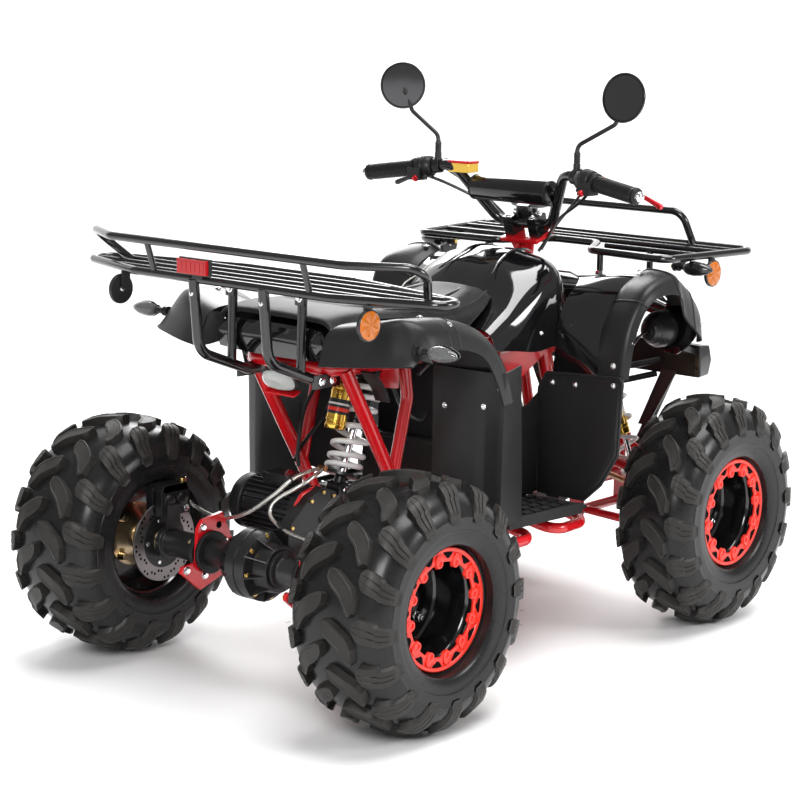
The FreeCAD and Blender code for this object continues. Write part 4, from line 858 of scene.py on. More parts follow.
class QUADBIKE_OT_frame(bpy.types.Operator):
    """Build the welded tube frame with its plates"""

    bl_idname = "quad_bike.frame"
    bl_label = "Frame"

    def execute(self, context):
        r = sizes().frame_tube * 1000
        build = Build("frame_tubes", "frame_red")
        build.tube([(750, 52, 708), (560, 120, 612), (84, 120, 612), (84, -120, 612), (560, -120, 612),
                    (750, -52, 708)], r, 42)
        for x, half, z in ((313, 120, 262), (1060, 80, 262), (352, 120, 612), (905, 90, 560), (344.3, 92, 300)):
            build.tube([(x, -half, z), (x, half, z)], r)
        build.block((430, -120, 266), (24, 240, 10))
        build.block((610, -120, 266), (24, 240, 10))
        build.band(at(883.2, 0, 542.7), Vector((-160, 0, 462)), 0, 36, 11.2, 19, 32)
        mark = build.mark()
        for share, bend, points in (
                (1, 60, [(313, 120, 262), (700, 120, 262), (860, 80, 262), (1060, 80, 262)]),
                (1, 30, [(313, 120, 262), (104, 120, 612)]),
                (0.86, 40, [(272, 120, 612), (284, 120, 535), (245, 120, 385)]),
                (1, 30, [(750, 52, 708), (862, 80, 262)]),
                (0.8, 34, [(400, 120, 262), (400, 262, 240), (510, 262, 240), (518, 120, 262)]),
                (0.8, 34, [(590, 120, 262), (590, 256, 240), (700, 250, 240), (716, 120, 262)]),
                (0.86, 30, [(842, 66, 340), (1060, 66, 340)]),
                (1, 30, [(1060, 80, 262), (1060, 72, 346)]),
                (0.86, 30, [(930, 66, 340), (905, 90, 560)]),
                (0.8, 30, [(344.3, 92, 300), (322, 120, 262)])):
            build.tube(points, r * share, bend)
        for x in (884.7, 1047.3):
            build.block((x, 72, 192), (8, 34, 70))
            build.block((x, 60, 327), (8, 50, 28))
        build.block((907.7, 80, 545), (10, 40, 26))
        build.block((308, 18.3, 584), (46, 6, 32))
        for corners in ([(596, 110, 622), (742, 56, 690), (752, 58, 560), (742, 60, 556)],
                        [(264, 120, 606), (216, 120, 606), (196, 120, 566), (258, 120, 556)],
                        [(700, 60, 690), (752, 50, 712), (790, 58, 560), (770, 58, 560)]):
            build.slab(corners, (0, -4, 0))
        for x, y, start, top in ((820, 200, (815, 68, 450), 722), (930, 110, (907, 88, 540), 692),
                                 (690, 60, (690, 74, 674), 762), (120, 186, (120, 120, 612), 662)):
            build.tube([start, (x, y, top - 18)], 5)
            build.tube([(x, y, top - 22), (x, y, top)], 5)
        build.slab([(627, 72, 584), (786, 72, 588), (780, 72, 556), (672, 72, 498), (640, 72, 540)], (0, -4, 0))
        build.use("pale_trim")
        build.sweep([at(590, 116, 628), at(748, 58, 698)], 0.0035, 8)
        build.sweep([at(630, 73, 578), at(784, 73, 580)], 0.003, 8)
        build.mirror(mark)
        build.use("bright_steel")
        for x, z in ((560, 262), (690, 262)):
            for side in (1, -1):
                build.bolt((x, side * 134, z), (0, side, 0), 5)
        build.place("chassis", "frame_red", ("frame",), 0.6)
        return {"FINISHED"}


# Steering

COLUMN_FOOT = Vector((950, 0, 350))
COLUMN_HEAD = Vector((796.5, 0, 793.2))


def on_column(along, ahead, side):
    """A point in millimetres from the column's head, along it, ahead of it and to the left."""
    axis = (COLUMN_HEAD - COLUMN_FOOT).normalized()
    forward = Vector((axis.z, 0, -axis.x))
    return COLUMN_HEAD + axis * along + forward * ahead + Vector((0, side, 0))


def column_box(build, low, spans):
    """A box in the column's own directions: (ahead, side, along)."""
    build.loft([[at(*on_column(along, low[0] + a * spans[0], low[1] + b * spans[1]))
                 for a, b in ((0, 0), (1, 0), (1, 1), (0, 1))] for along in (low[2], low[2] + spans[2])])


BAR_END = Vector((697, 350, 915))
BAR_BEND = Vector((732, 147, 944))
BAR_RUN = (BAR_BEND - BAR_END).normalized()


def on_bar(distance):
    """A point in millimetres on the handlebar, inwards from the left grip's end."""
    return BAR_END + BAR_RUN * distance


class QUADBIKE_OT_steering(bpy.types.Operator):
    """Build the column, clamps, handlebar, pad and grips"""

    bl_idname = "quad_bike.steering"
    bl_label = "Column and handlebar"

    def execute(self, context):
        build = Build("steering_column_bar", "frame_red")
        axis = COLUMN_HEAD - COLUMN_FOOT
        build.turned(at(*COLUMN_FOOT), axis, [(0, 9), (2, 11), (axis.length - 2, 11), (axis.length, 9)], 32)
        column_box(build, (-22, -48, 0), (62, 96, 8))
        column_box(build, (-56, -20, -axis.length), (70, 40, 8))
        for side in (1, -1):
            rib = [on_column(0, -14, side * 30), on_column(0, -14, side * 8), on_column(-62, -8, side * 7),
                   on_column(-50, -10, side * 12)]
            build.loft([[at(*p) for p in rib], [at(*(p + Vector((8, 0, 0)))) for p in rib]])
        build.use("gloss_powder")
        for low in (20, -44):
            column_box(build, (-8, low, 8.4), (38, 24, 24))
            column_box(build, (-8, low, 33), (38, 24, 17))
        build.use("chrome")
        for side in (1, -1):
            for ahead in (-2, 24):
                build.bolt(on_column(50, ahead, side * 32), axis, 5.4)
        build.place("steering", "frame_red", ("steering_column",), 1.6)

        bar = Build("handlebar_tube", "gloss_powder")
        bar.tube([tuple(BAR_END), tuple(BAR_BEND), (799, 68, 826), (799, -68, 826), (732, -147, 944),
                  (697, -350, 915)], 11, 38, sides=24)
        bar.tube([(752, -112, 899), (752, 112, 899)], 6.6)
        bar.place("steering", "black_steel", ("handlebar",))

        x, z = 752, 898
        pad = Build("bar_pad_cover", "pad_vinyl")
        cover = [(0, 7), (0, 20), (2, 24.5), (6, 26), (202, 26), (206, 24.5), (208, 20), (208, 7)]
        pad.turned(at(x, -104, z), ACROSS, cover, 48, loop=True)
        pad.use("soft_rubber")
        for start in (-101, 96):
            strap = [(0, 26.1), (1.2, 26.7), (3.8, 26.7), (5, 26.1), (5, 25), (0, 25)]
            pad.turned(at(x, start, z), ACROSS, strap, 48, loop=True)
        seam = at(x - 26.2 * math.cos(-1.15), -96, z + 26.2 * math.sin(-1.15))
        pad.sweep([seam, seam + Vector((0, 0.192, 0))], 0.0009, 8)
        piece = pad.place("steering", "gloss_plastic", ("bar_pad",))

        grips = Build("grips_rubber", "soft_rubber")
        profile = [(-4, 3), (-6, 12), (-4, 16.5), (0, 17.6), (3, 17.6)]
        for k in range(13):
            profile += [(8 + k * 7.6, 16.0), (10.4 + k * 7.6, 16.0), (11 + k * 7.6, 17.0), (14.8 + k * 7.6, 17.0)]
        profile += [(110, 16), (112, 20.5), (118, 21), (120, 18), (120, 11.4)]
        grips.turned(at(*on_bar(0)), BAR_RUN, profile, 40)
        grips.use("chrome")
        grips.turned(at(*on_bar(-6.5)), -BAR_RUN, [(-3, 10), (2, 12), (7, 11), (10, 8), (11, 3), (9, 2)], 24)
        grips.mirror()
        grips.place("steering", "black_rubber", ("grips",))
        return {"FINISHED"}


class QUADBIKE_OT_controls(bpy.types.Operator):
    """Build the switch boxes, fluid boxes and brake levers"""

    bl_idname = "quad_bike.controls"
    bl_label = "Hand controls"

    def execute(self, context):
        build = Build("controls_housings", "matte_plastic")
        housing = [(0, 13), (0, 20), (3, 23), (16, 24), (18, 22.6), (20, 22.6), (22, 24), (34, 22), (38, 18), (38, 12)]
        boxes = ((1, "gold_anodised", (726, 100, 928), 34, 56, 52), (-1, "cast_black", (728, -228, 918), 30, 44, -6))
        for side, box_finish, box, deep, wide, foot in boxes:
            flip = Vector((1, side, 1))
            run = BAR_RUN * flip
            start = Vector(box)

            def spot(distance, *step):
                """A point in millimetres on this side's bar, and a step from it."""
                return on_bar(distance) * flip + Vector(step or (0, 0, 0))

            build.use("matte_plastic")
            build.turned(at(*spot(122)), run, housing, 32, loop=True)
            build.block(spot(128, -26, -16, -26), (30, 32, 26))
            build.use("red_anodised")
            button = [(-4, 7), (4, 7), (6, 5.4), (6.4, 2)]
            build.turned(at(*spot(134, -24, 0, -22)), (-1, -side * 0.3, -0.5), button, 24)
            build.use("cable_black")
            build.turned(at(*spot(150, -14, 0, -18)), (-0.6, 0, -1), [(0, 6), (6, 6), (7, 4)], 20)
            build.use("cast_black")
            build.band(at(*spot(163)), run, 0, 16, 12, 16, 28)
            build.block(spot(171, 6, -9, -8), (26, 18, 18))
            build.use(box_finish)
            build.block(start, (deep, wide, 19))
            build.use("cast_black")
            build.block(start + Vector((6, foot, 0)), (18, 12, 12))
            build.use("red_anodised")
            build.block(start + Vector((-1, -1, 19.2)), (deep + 2, wide + 2, 5.0))
            build.use("chrome")
            for dx, dy in ((5, 5), (deep - 5, wide - 5)):
                build.turned(at(*(start + Vector((dx, dy, 24.2)))), UP, [(0, 3), (1.2, 2.6), (1.2, 1.2)], 12)
        build.place("steering", "matte_plastic", ("controls",), 1.5)

        levers = Build("levers_blades", "red_anodised")
        for side in (1, -1):
            levers.use("red_anodised" if side < 0 else "satin_powder")
            root = (on_bar(171) * Vector((1, side, 1))) + Vector((34, 4 * side, 2))
            line = eased([at(*p) for p in (tuple(root), (root.x + 16, side * 212, root.z - 6), (794, side * 262, 919),
                                           (788, side * 318, 900), (786, side * 352, 887))], 8)
            radii = [0.0062 - 0.0018 * math.sin(math.pi * k / (len(line) - 1)) for k in range(len(line))]
            radii[-3:] = [0.0058, 0.0062, 0.0048]
            levers.sweep(line, radii, 12)
            levers.use("bright_steel")
            levers.turned(at(root.x - 2, root.y, root.z - 12), UP, [(0, 5), (24, 5), (24.6, 4)], 16)
        levers.place("steering", "frame_red", ("levers",))
        return {"FINISHED"}


class QUADBIKE_OT_mirrors(bpy.types.Operator):
    """Build the two round mirrors on their stalks"""

    bl_idname = "quad_bike.mirrors"
    bl_label = "Mirrors"

    def execute(self, context):
        build = Build("mirrors_pair", "satin_powder")
        foot = on_bar(171) + Vector((0, 0, 16))
        build.turned(at(*foot), UP, [(-4, 9), (0, 9), (0, 7.5), (12, 7.5), (12, 6.2), (34, 6.2), (36, 5),
                                     (40, 4.5)], 20)
        for k in range(4):
            build.turned(at(*(foot + Vector((0, 0, 14 + k * 5)))), UP, [(0, 6.2), (1, 7.2), (3, 7.2), (4, 6.2)], 20)
        build.tube([foot, foot + Vector((0, 0, 48)), (737, 268, 1050), (739, 286, 1092)], 4.6, 20, sides=14)
        build.turned(at(738, 286, 1090), UP, [(-8, 8), (-2, 10), (8, 9), (12, 5)], 20)
        build.mirror()
        for side, facing in ((1, Vector((-90, -44, 0))), (-1, Vector((-100, -4, 12)))):
            facing.normalize()
            centre = at(735, 291 * side, 1103) - facing * 0.008
            build.use("gloss_powder")
            build.turned(centre, facing, [(-2, 8), (-1, 14), (3, 32), (7, 45), (12, 49.5), (15, 50), (16.6, 49.4),
                                          (16.8, 46.4), (14.4, 45.4), (14.2, 1)], 64)
            build.use("mirror_glass")
            glass = [(14.0, 0.1), (14.0, 45.0), (14.9, 44.8), (15.4, 30), (15.6, 12), (15.6, 0.1)]
            build.turned(centre, facing, glass, 64)
        build.place("steering", "mirror_glass", ("mirrors",), angle=30)
        return {"FINISHED"}


class QUADBIKE_OT_display(bpy.types.Operator):
    """Build the dash display on its stem"""

    bl_idname = "quad_bike.display"
    bl_label = "Display"

    def execute(self, context):
        turn = Matrix.Rotation(math.radians(-14), 3, "Y")
        low = Vector((802, -44, 856))
        build = Build("display_case", "display_grey")

        def outline(deep, wide, power, side_power, lift):
            """A rounded outline on the tilted case, in metres."""
            return [at(*(turn @ Vector((33 + deep * math.copysign(abs(c) ** power, c),
                                        50 + wide * math.copysign(abs(s) ** side_power, s), lift)) + low))
                    for c, s in circle(36)]

        build.loft([outline(33 - shrink, 50 - shrink, 0.6, 0.7, lift)
                    for lift, shrink in ((0, 6), (3, 1), (9, 0), (13, 3), (14, 7))])
        build.use("screen_dark")
        screen = outline(20, 36, 0.5, 0.6, 14.2)
        build.loft([screen, [p + Vector((0, 0, 0.0006)) for p in screen]])
        build.use("gloss_powder")
        column_box(build, (10, -15, 27), (10, 30, 44))
        build.place("steering", "display_grey", ("display",), 0.6)
        return {"FINISHED"}


# Front suspension

class QUADBIKE_OT_front_arms(bpy.types.Operator):
    """Build the front arms, knuckles and tie rods"""

    bl_idname = "quad_bike.front_arms"
    bl_label = "Front arms and knuckles"

    def execute(self, context):
        build = Build("front_arms_tubes", "frame_red")
        for z0, z1 in ((205, 196), (340, 300)):
            bend_z = z0 + (z1 - z0) * 0.66
            build.tube([(893, 94, z0), (1047, 94, z0)], 11)
            build.tube([(908, 94, z0), (910, 206, bend_z), (976, 262, z1)], 9, 30)
            build.tube([(1032, 94, z0), (1034, 206, bend_z), (984, 262, z1)], 9, 30)
            build.use("bright_steel")
            build.turned(at(980, 262, z1 - 9), UP, [(0, 9), (2, 12), (16, 12), (18, 9)], 24)
            for x, heading in ((893, -1), (1047, 1)):
                build.turned(at(x, 94, z0), (heading, 0, 0), [(-2, 9), (3, 9), (3, 6), (5, 6)], 20)
            build.use("frame_red")
        build.tube([(912, 204, 200), (1032, 204, 200)], 9)
        build.mirror()
        build.place("chassis", "frame_red", ("front_arms",), 0.4)
        for side, word in ((1, "left"), (-1, "right")):
            knuckle = Build(f"knuckle_{word}_casting", "cast_black")
            knuckle.loft([[at(980 + a * half, 279 + b * 11, z) for a, b in ((-1, -1), (1, -1), (1, 1), (-1, 1))]
                          for z, half in ((207, 15), (236, 12), (262, 12), (291, 15))])
            knuckle.block((968, 258, 207), (24, 22, 10))
            knuckle.block((968, 258, 279), (24, 22, 10))
            for z in (206, 278):
                knuckle.turned(at(980, 262, z), UP, [(0, 8), (1, 9), (11, 9), (12, 8)], 24)
            knuckle.turned(at(980, 288, 240), ACROSS, [(0, 26), (4, 26), (8, 20), (12, 15), (50, 14.9)], 32)
            knuckle.slab([(970, 261, 250), (930, 261, 250), (902, 262, 250), (902, 275, 250), (930, 275, 250),
                          (970, 275, 250)], (0, 0, 12))
            if side < 0:
                knuckle.verts = [Vector((v.x, -v.y, v.z)) for v in knuckle.verts]
            knuckle.place(f"knuckle_{word}", "black_steel", (f"knuckle_{word}",), 1.2)
            rod = Build(f"tie_rod_{word}_link", "zinc_plate")
            start = at(912, side * 268, 269)
            run = at(904, side * 14, 322) - start
            length = run.length * 1000
            rod.turned(start, run, [(8, 5), (30, 5), (30, 7.4), (44, 7.4), (44, 6), (length - 44, 6),
                                    (length - 44, 7.4), (length - 30, 7.4), (length - 28, 5), (length, 5)], 16)
            joint = [(0, 8), (1.5, 10), (12, 10), (13.7, 7), (17, 5), (17, 3)]
            rod.turned(at(912, side * 268, 262.3), UP, joint, 24)
            rod.place(f"tie_rod_{word}", "zinc", (f"tie_rod_{word}",))
        return {"FINISHED"}


def damper(build, start, heading, length, seat, body, rod, eye, colour):
    """A damper along a line, its rod low and its body up, with the radii of seat, body, rod and eye."""
    build.use("chrome")
    build.turned(start, heading, [(20, rod), (length * 0.48, rod)], 24)
    build.use("cast_black")
    build.turned(start, heading, [(2, eye - 4), (eye, eye - 3), (20, rod + 4), (26, rod + 4), (26, seat), (33, seat),
                                  (33, rod + 2)], 32)
    build.use(colour)
    low = length * 0.46
    profile = [(low, rod + 1), (low, body - 2), (low + 2, body)]
    mark = low + 14
    while mark < length - 62:
        profile += [(mark, body), (mark + 0.8, body - 1), (mark + 2.4, body - 1), (mark + 3.2, body)]
        mark += 8
    profile += [(length - 50, body), (length - 50, seat), (length - 44, seat + 0.5), (length - 41, seat + 0.5),
                (length - 40, seat - 3), (length - 38, seat - 3), (length - 36, seat), (length - 30, seat),
                (length - 28, body - 2), (length - 20, body - 4), (length - 12, eye - 3), (length, eye - 4)]
    build.turned(start, heading, profile, 40)


COIL_STEPS = 18  # points in one turn of a spring


def coil_line(start, heading, radius, wire, length, turns):
    """The middle line of a coil whose end turns lie closer."""
    heading = heading.normalized()
    normal = heading.orthogonal().normalized()
    side = heading.cross(normal)
    line = []
    count = COIL_STEPS * turns
    for k in range(count + 1):
        share = k / count
        share -= 0.055 * math.sin(2 * math.pi * share)
        angle = 2 * math.pi * k / COIL_STEPS
        along = (wire + (length - 2 * wire) * share) / 1000
        line.append(start + heading * along + (normal * math.cos(angle) + side * math.sin(angle)) * radius / 1000)
    return line


class QUADBIKE_OT_dampers(bpy.types.Operator):
    """Build the rear and front dampers and their springs"""

    bl_idname = "quad_bike.dampers"
    bl_label = "Dampers and springs"

    def execute(self, context):
        foot, top = at(219, 0, 346), at(318, 0, 596)
        heading = top - foot
        length = heading.length * 1000
        unit = heading.normalized()
        behind = Vector((-unit.z, 0, unit.x))
        build = Build("rear_shock_damper", "gold_anodised")
        damper(build, foot, heading, length, 38, 19, 8, 15, "cast_black")
        for spot in (foot, top):
            build.use("cast_black")
            build.turned(spot - Vector((0, 0.018, 0)), ACROSS, [(0, 13), (1, 15), (35, 15), (36, 13)], 32)
            build.use("chrome")
            for side in (1, -1):
                build.turned(spot + Vector((0, side * 0.018, 0)), (0, side, 0), [(0, 9), (6, 9), (7, 7)], 6)
        tank = at(208, 0, 466)
        lean = Vector((22, 0, 76)).normalized()
        build.use("gold_anodised")
        build.turned(tank, lean, [(0, 14), (1, 19), (4, 21), (12, 21), (13, 19.6), (16, 19.6), (17, 21), (22, 21),
                                  (22, 20.4), (70, 20.4), (70, 21), (76, 21), (77, 19.4), (79, 19.4), (80, 21),
                                  (90, 21), (94, 17), (94, 8)], 40)
        for finish, along, high, inner, outer in (
                ("cable_black", 0.030, 30, 20.2, 20.8), ("ring_red", 0.036, 7, 20.6, 21.1),
                ("band_white", 0.048, 4, 20.6, 21.1)):
            build.use(finish)
            build.band(tank + lean * along, lean, 0, high, inner, outer, 40)
        build.use("gold_anodised")
        bridge = foot + heading * 0.90
        neck = [bridge, bridge + behind * 0.045, tank + lean * 0.098, tank + lean * 0.086]
        build.sweep(rounded(neck, 0.012), 0.0085)
        build.place("chassis", "gold_alloy", ("rear_shock",), 0.4)
        spring = Build("rear_spring_coil", "spring_white")
        line = coil_line(foot + unit * 0.0333, heading, 33, 5.5, length - 84, 7)
        spring.sweep(line, sizes().spring_wire, 14)
        spring.place("chassis", "spring_white", ("rear_spring",))

        front = Build("front_shocks_dampers", "gold_anodised")
        foot, top = at(972, 204, 219.5), at(930, 112, 556)
        heading = top - foot
        length = heading.length * 1000
        unit = heading.normalized()
        damper(front, foot, heading, length, 28, 15, 6, 10, "gold_anodised")
        for finish, offset, high in (("band_white", 0.60, 26), ("ring_red", 0.64, 8), ("cable_black", 0.70, 4)):
            front.use(finish)
            front.band(foot + heading * offset, heading, 0, high, 14.6, 15.6, 32)
        for spot in (foot, top):
            front.use("cast_black")
            front.turned(spot - Vector((0.012, 0, 0)), AHEAD, [(0, 8.5), (1, 10), (23, 10), (24, 8.5)], 28)
            front.use("chrome")
            front.turned(spot + Vector((-0.012, 0, 0)), (-1, 0, 0), [(0, 7), (5, 7), (6, 5)], 6)
        side_tank = foot + heading * 0.54 + Vector((-0.034, 0.022, 0))
        front.use("gold_anodised")
        front.turned(side_tank, heading, [(0, 9), (2, 13), (14, 13), (15, 11.6), (18, 11.6), (19, 13), (78, 13),
                                          (79, 11.8), (82, 11.8), (83, 13), (96, 13), (99, 9)], 28)
        for finish, along, high in (("band_white", 24, 14), ("ring_red", 40, 12), ("band_white", 54, 14)):
            front.use(finish)
            front.band(side_tank + unit * (along / 1000), heading, 0, high, 12.8, 13.4, 28)
        front.use("gold_anodised")
        front.sweep([foot + heading * 0.86, foot + heading * 0.74 + Vector((-0.040, 0.012, 0))], 0.005, 12)
        front.use("band_white")
        front.band(side_tank + unit * 0.018, heading, 0, 30, 11.8, 12.4, 28)
        front.use("ring_red")
        front.band(side_tank + unit * 0.028, heading, 0, 8, 12.2, 12.7, 28)
        front.mirror()
        front.place("chassis", "gold_alloy", ("front_shocks",), 0.4)
        coils = Build("front_springs_coils", "spring_white")
        coils.sweep(coil_line(foot + unit * 0.0333, heading, 24, 4.5, length - 78, 7), 0.0043, 12)
        coils.mirror()
        coils.place("chassis", "spring_white", ("front_springs",))
        return {"FINISHED"}


# Rear drive

MOTOR_X, MOTOR_Z = 114, 319


class QUADBIKE_OT_drive(bpy.types.Operator):
    """Build the swing frame, axle tube, gear case and motor"""

    bl_idname = "quad_bike.drive"
    bl_label = "Rear drive"

    def execute(self, context):
        r = sizes().frame_tube * 1000
        swing = Build("swing_frame_tubes", "frame_red")
        swing.tube([(318, -78, 300), (318, 78, 300)], 12)
        swing.block((205, -110, 234), (26, 220, 24))
        swing.block((203, -25, 250), (30, 50, 76))
        mark = swing.mark()
        swing.tube([(318, 74, 300), (240, 104, 244), (46, 129, 238)], r * 0.86, 80)
        outline = [(-74, 204), (-70, 216), (-34, 218), (-30, 284), (-18, 300), (6, 304), (36, 308), (62, 252),
                   (60, 196), (40, 184), (-8, 168), (-24, 163)]
        swing.slab([(x, 134, z) for x, z in outline], (0, 8, 0))
        # Near-black discs on both faces of the plate: painted shade standing in for its holes
        swing.use("painted_hole_shade")
        for x, z in ((46, 222), (26, 284)):
            for y in (142, 133.6):
                swing.turned(at(x, y, z), ACROSS, [(0, 7), (0.4, 7)], 20)
        swing.use("chrome")
        for x, z in ((-17, 286), (-60, 208), (-12, 190), (42, 250)):
            swing.bolt((x, 142, z), ACROSS)
            swing.bolt((x, 134, z), (0, -1, 0))
        swing.mirror(mark)
        swing.place("chassis", "frame_red", ("swing_frame",), 1.0)

        axle = Build("axle_housing_tubes", "satin_powder")
        tube = [(0, 38), (6, 38), (10, 29), (14, 27), (66, 27), (176, 27), (178, 33), (190, 33), (190, 15.2),
                (0, 15.2)]
        axle.turned(at(0, 62, AXLE_Z), ACROSS, tube, 48, loop=True)
        axle.use("soft_rubber")
        for boot in ([(60, 27.1), (60, 41), (62, 42), (69, 42), (70.5, 41), (70.5, 27.1)],
                     [(82, 27.1), (82, 37), (84, 38), (92, 38), (94, 36), (94, 27.1)]):
            axle.turned(at(0, 62, AXLE_Z), ACROSS, boot, 40, loop=True)
        axle.use("zinc_plate")
        for turn in (0.6, 2.5, 4.1):
            spot = at(33 * math.cos(turn), 156, AXLE_Z + 33 * math.sin(turn))
            axle.turned(spot, ACROSS, [(0, 5), (6, 5), (7, 4)], 6)
        axle.mirror()
        axle.place("chassis", "grey_steel", ("axle_housing",), 0.6)

        case = Build("gear_case_casting", "cast_black")
        half = [(62, 30), (62, 44), (58, 46), (32, 50), (27, 64), (25, 68), (3, 68), (2, 66)]
        case.turned(at(0, 0, AXLE_Z), ACROSS, [(-y, r) for y, r in half] + half[::-1], 64)
        lobe = [(20, 215), (118, 279), (150, 291), (166, 326), (150, 361), (118, 374), (80, 360), (20, 311)]
        case.slab([(x, -58, z) for x, z in lobe], (0, 27.7, 0))
        for c, s in circle(10, 0.2):
            for side in (1, -1):
                rib = [(70, -22), (46, -22), (46, -60)]
                case.slab([(reach * c, side * y, AXLE_Z + reach * s) for reach, y in rib], (3 * s, 0, -3 * c))
        case.use("brass")
        for spot in around(0, -26, AXLE_Z, 59, 8, 0.1):
            case.bolt(spot, (0, -1, 0), 5)
        for x, z in lobe:
            case.bolt((x + (93 - x) * 0.12, -58, z + (300 - z) * 0.12), (0, -1, 0), 4.4, False)
        case.bolt((10, -62, 180), (0, -1, 0), 7)
        case.place("chassis", "black_alloy", ("gear_case",), 1.2)

        motor = Build("motor_body", "cast_grey")
        centre = at(MOTOR_X, 0, MOTOR_Z)
        body = [(-30, 36), (-30, 48), (-8, 49), (-6, 46), (112, 46), (114, 55), (138, 55), (143, 52), (147, 46),
                (150, 36), (150, 10)]
        motor.turned(centre, ACROSS, body, 64)
        fin = ((0.044, -0.0013), (0.0555, -0.0009), (0.0555, 0.0009), (0.044, 0.0013))
        for c, s in circle(28):
            ring = [centre + Vector((c, 0, s)) * out + Vector((-s, 0, c)) * along for out, along in fin]
            motor.loft([[p + Vector((0, y, 0)) for p in ring] for y in (-0.004, 0.112)])
        motor.use("cast_black")
        motor.turned(centre, ACROSS, [(116, 55.6), (134, 55.6), (143, 51), (149, 40), (152, 22), (152, 6)], 64)
        motor.use("bright_steel")
        for spot in around(MOTOR_X, 141, MOTOR_Z, 46, 6, 0.3):
            motor.bolt(spot, ACROSS, 3.2, False)
        motor.use("gloss_powder")
        motor.block((92, 20, 366), (48, 60, 22))
        motor.use("frame_red")
        motor.tube([(56, -34, 332), (80, -34, 362), (128, -34, 372), (158, -34, 340)], 4.5, 26, sides=10)
        motor.place("chassis", "motor_alloy", ("motor",), 0.5)
        return {"FINISHED"}


class QUADBIKE_OT_brakes(bpy.types.Operator):
    """Build the rear calipers and their braided hoses"""

    bl_idname = "quad_bike.brakes"
    bl_label = "Rear brakes"

    def execute(self, context):
        build = Build("rear_calipers_castings", "cast_black")
        outline = [(-26, 288), (50, 288), (50, 334), (38, 350), (-14, 350), (-26, 338)]
        for y, thick in ((240, 17), (266.5, 17.5)):
            build.slab([(x, y, z) for x, z in outline], (0, thick, 0))
        build.block((-20, 240, 335), (64, 44, 14))
        build.slab([(-17, 232, 262), (17, 232, 262), (17, 232, 312), (-17, 232, 312)], (0, 8, 0))
        for x in (-6, 28):
            build.turned(at(x, 284, 318), ACROSS, [(-2, 15), (4, 15), (6, 12), (6, 4)], 28)
            build.turned(at(x, 240, 318), (0, -1, 0), [(-2, 14), (3, 14), (5, 10)], 28)
        build.use("brass")
        build.turned(at(41, 252, 322), UP, [(-6, 8), (10, 8), (12, 5.4), (26, 5.2), (28, 7), (34, 7), (35, 5)], 20)
        build.use("chrome")
        for x, z in ((-10, 298), (40, 298), (0, 276)):
            build.bolt((x, 240, z), (0, -1, 0), 5)
        build.mirror()
        build.place("chassis", "black_alloy", ("rear_calipers",), 1.4)
        hose = Build("brake_hoses_braid", "steel_braid")
        left = [(44, 254, 346), (56, 260, 338), (54, 250, 312), (55, 228, 299), (50, 180, 291), (44, 129, 295),
                (40, 80, 312), (40, 44, 332), (44, 0, 364), (58, -27, 392), (100, -25, 400), (150, -16, 400)]
        right = [(44, -254, 346), (52, -256, 330), (30, -220, 304), (20, -135, 296), (20, -89, 298), (20, -44, 306),
                 (30, 0, 326), (45, -2, 352), (70, -41, 382), (110, -44, 398), (150, -24, 400)]
        for line, clip in ((left, 9), (right, 5)):
            hose.use("steel_braid")
            hose.cord(line, 3.9, 12)
            hose.use("cable_black")
            start, end = Vector(line[clip]), Vector(line[clip + 1])
            hose.cord([tuple(start.lerp(end, share)) for share in (-0.05, 0.2, 0.4)], 4.6, 12)
            hose.use("chrome")
            hose.turned(at(*line[0]), (0.6, 0.2, 0.4), [(-6, 6.4), (4, 6.4), (5, 5.2), (14, 4.8)], 16)
        hose.use("brass")
        hose.turned(at(152, -20, 400), ACROSS, [(-9, 6), (9, 6), (10, 4)], 6)
        hose.place("chassis", "hose_braid", ("brake_hoses",))
        return {"FINISHED"}


# Bodywork

class QUADBIKE_OT_battery(bpy.types.Operator):
    """Build the closed battery box under the seat"""

    bl_idname = "quad_bike.battery"
    bl_label = "Battery box"

    def execute(self, context):
        build = Build("battery_box_case", "satin_powder")
        build.block((400, -98, 276.3), (250, 196, 146))
        build.block((397, -101, 420), (256, 202, 8))
        build.block((420, -75, 428), (180, 150, 160))
        for x in (440, 500, 560, 620):
            for y in (98, -100):
                build.block((x, y, 290), (16, 2, 118))
        build.use("matte_plastic")
        build.block((426, -77, 560), (168, 154, 18))
        build.use("cable_black")
        for side in (1, -1):
            build.cord([(x, side * y, z) for x, y, z in ((440, 60, 588), (410, 80, 600), (380, 96, 590),
                                                         (340, 100, 570))], 4)
        build.place("chassis", "matte_plastic", ("battery_box",), 3)
        return {"FINISHED"}


def cushion_section(x, half, low, high):
    """One closed outline of the seat, in millimetres, from its width and heights."""
    side = [(half - 6, low), (half, low + 12), (half - 3, high - 24), (half - 16, high - 9), (half - 42, high - 1)]
    corners = both_sides(side)
    return [Vector((x, y, z)) for y, z in corners[:5] + [(0, high + 1)] + corners[5:]]


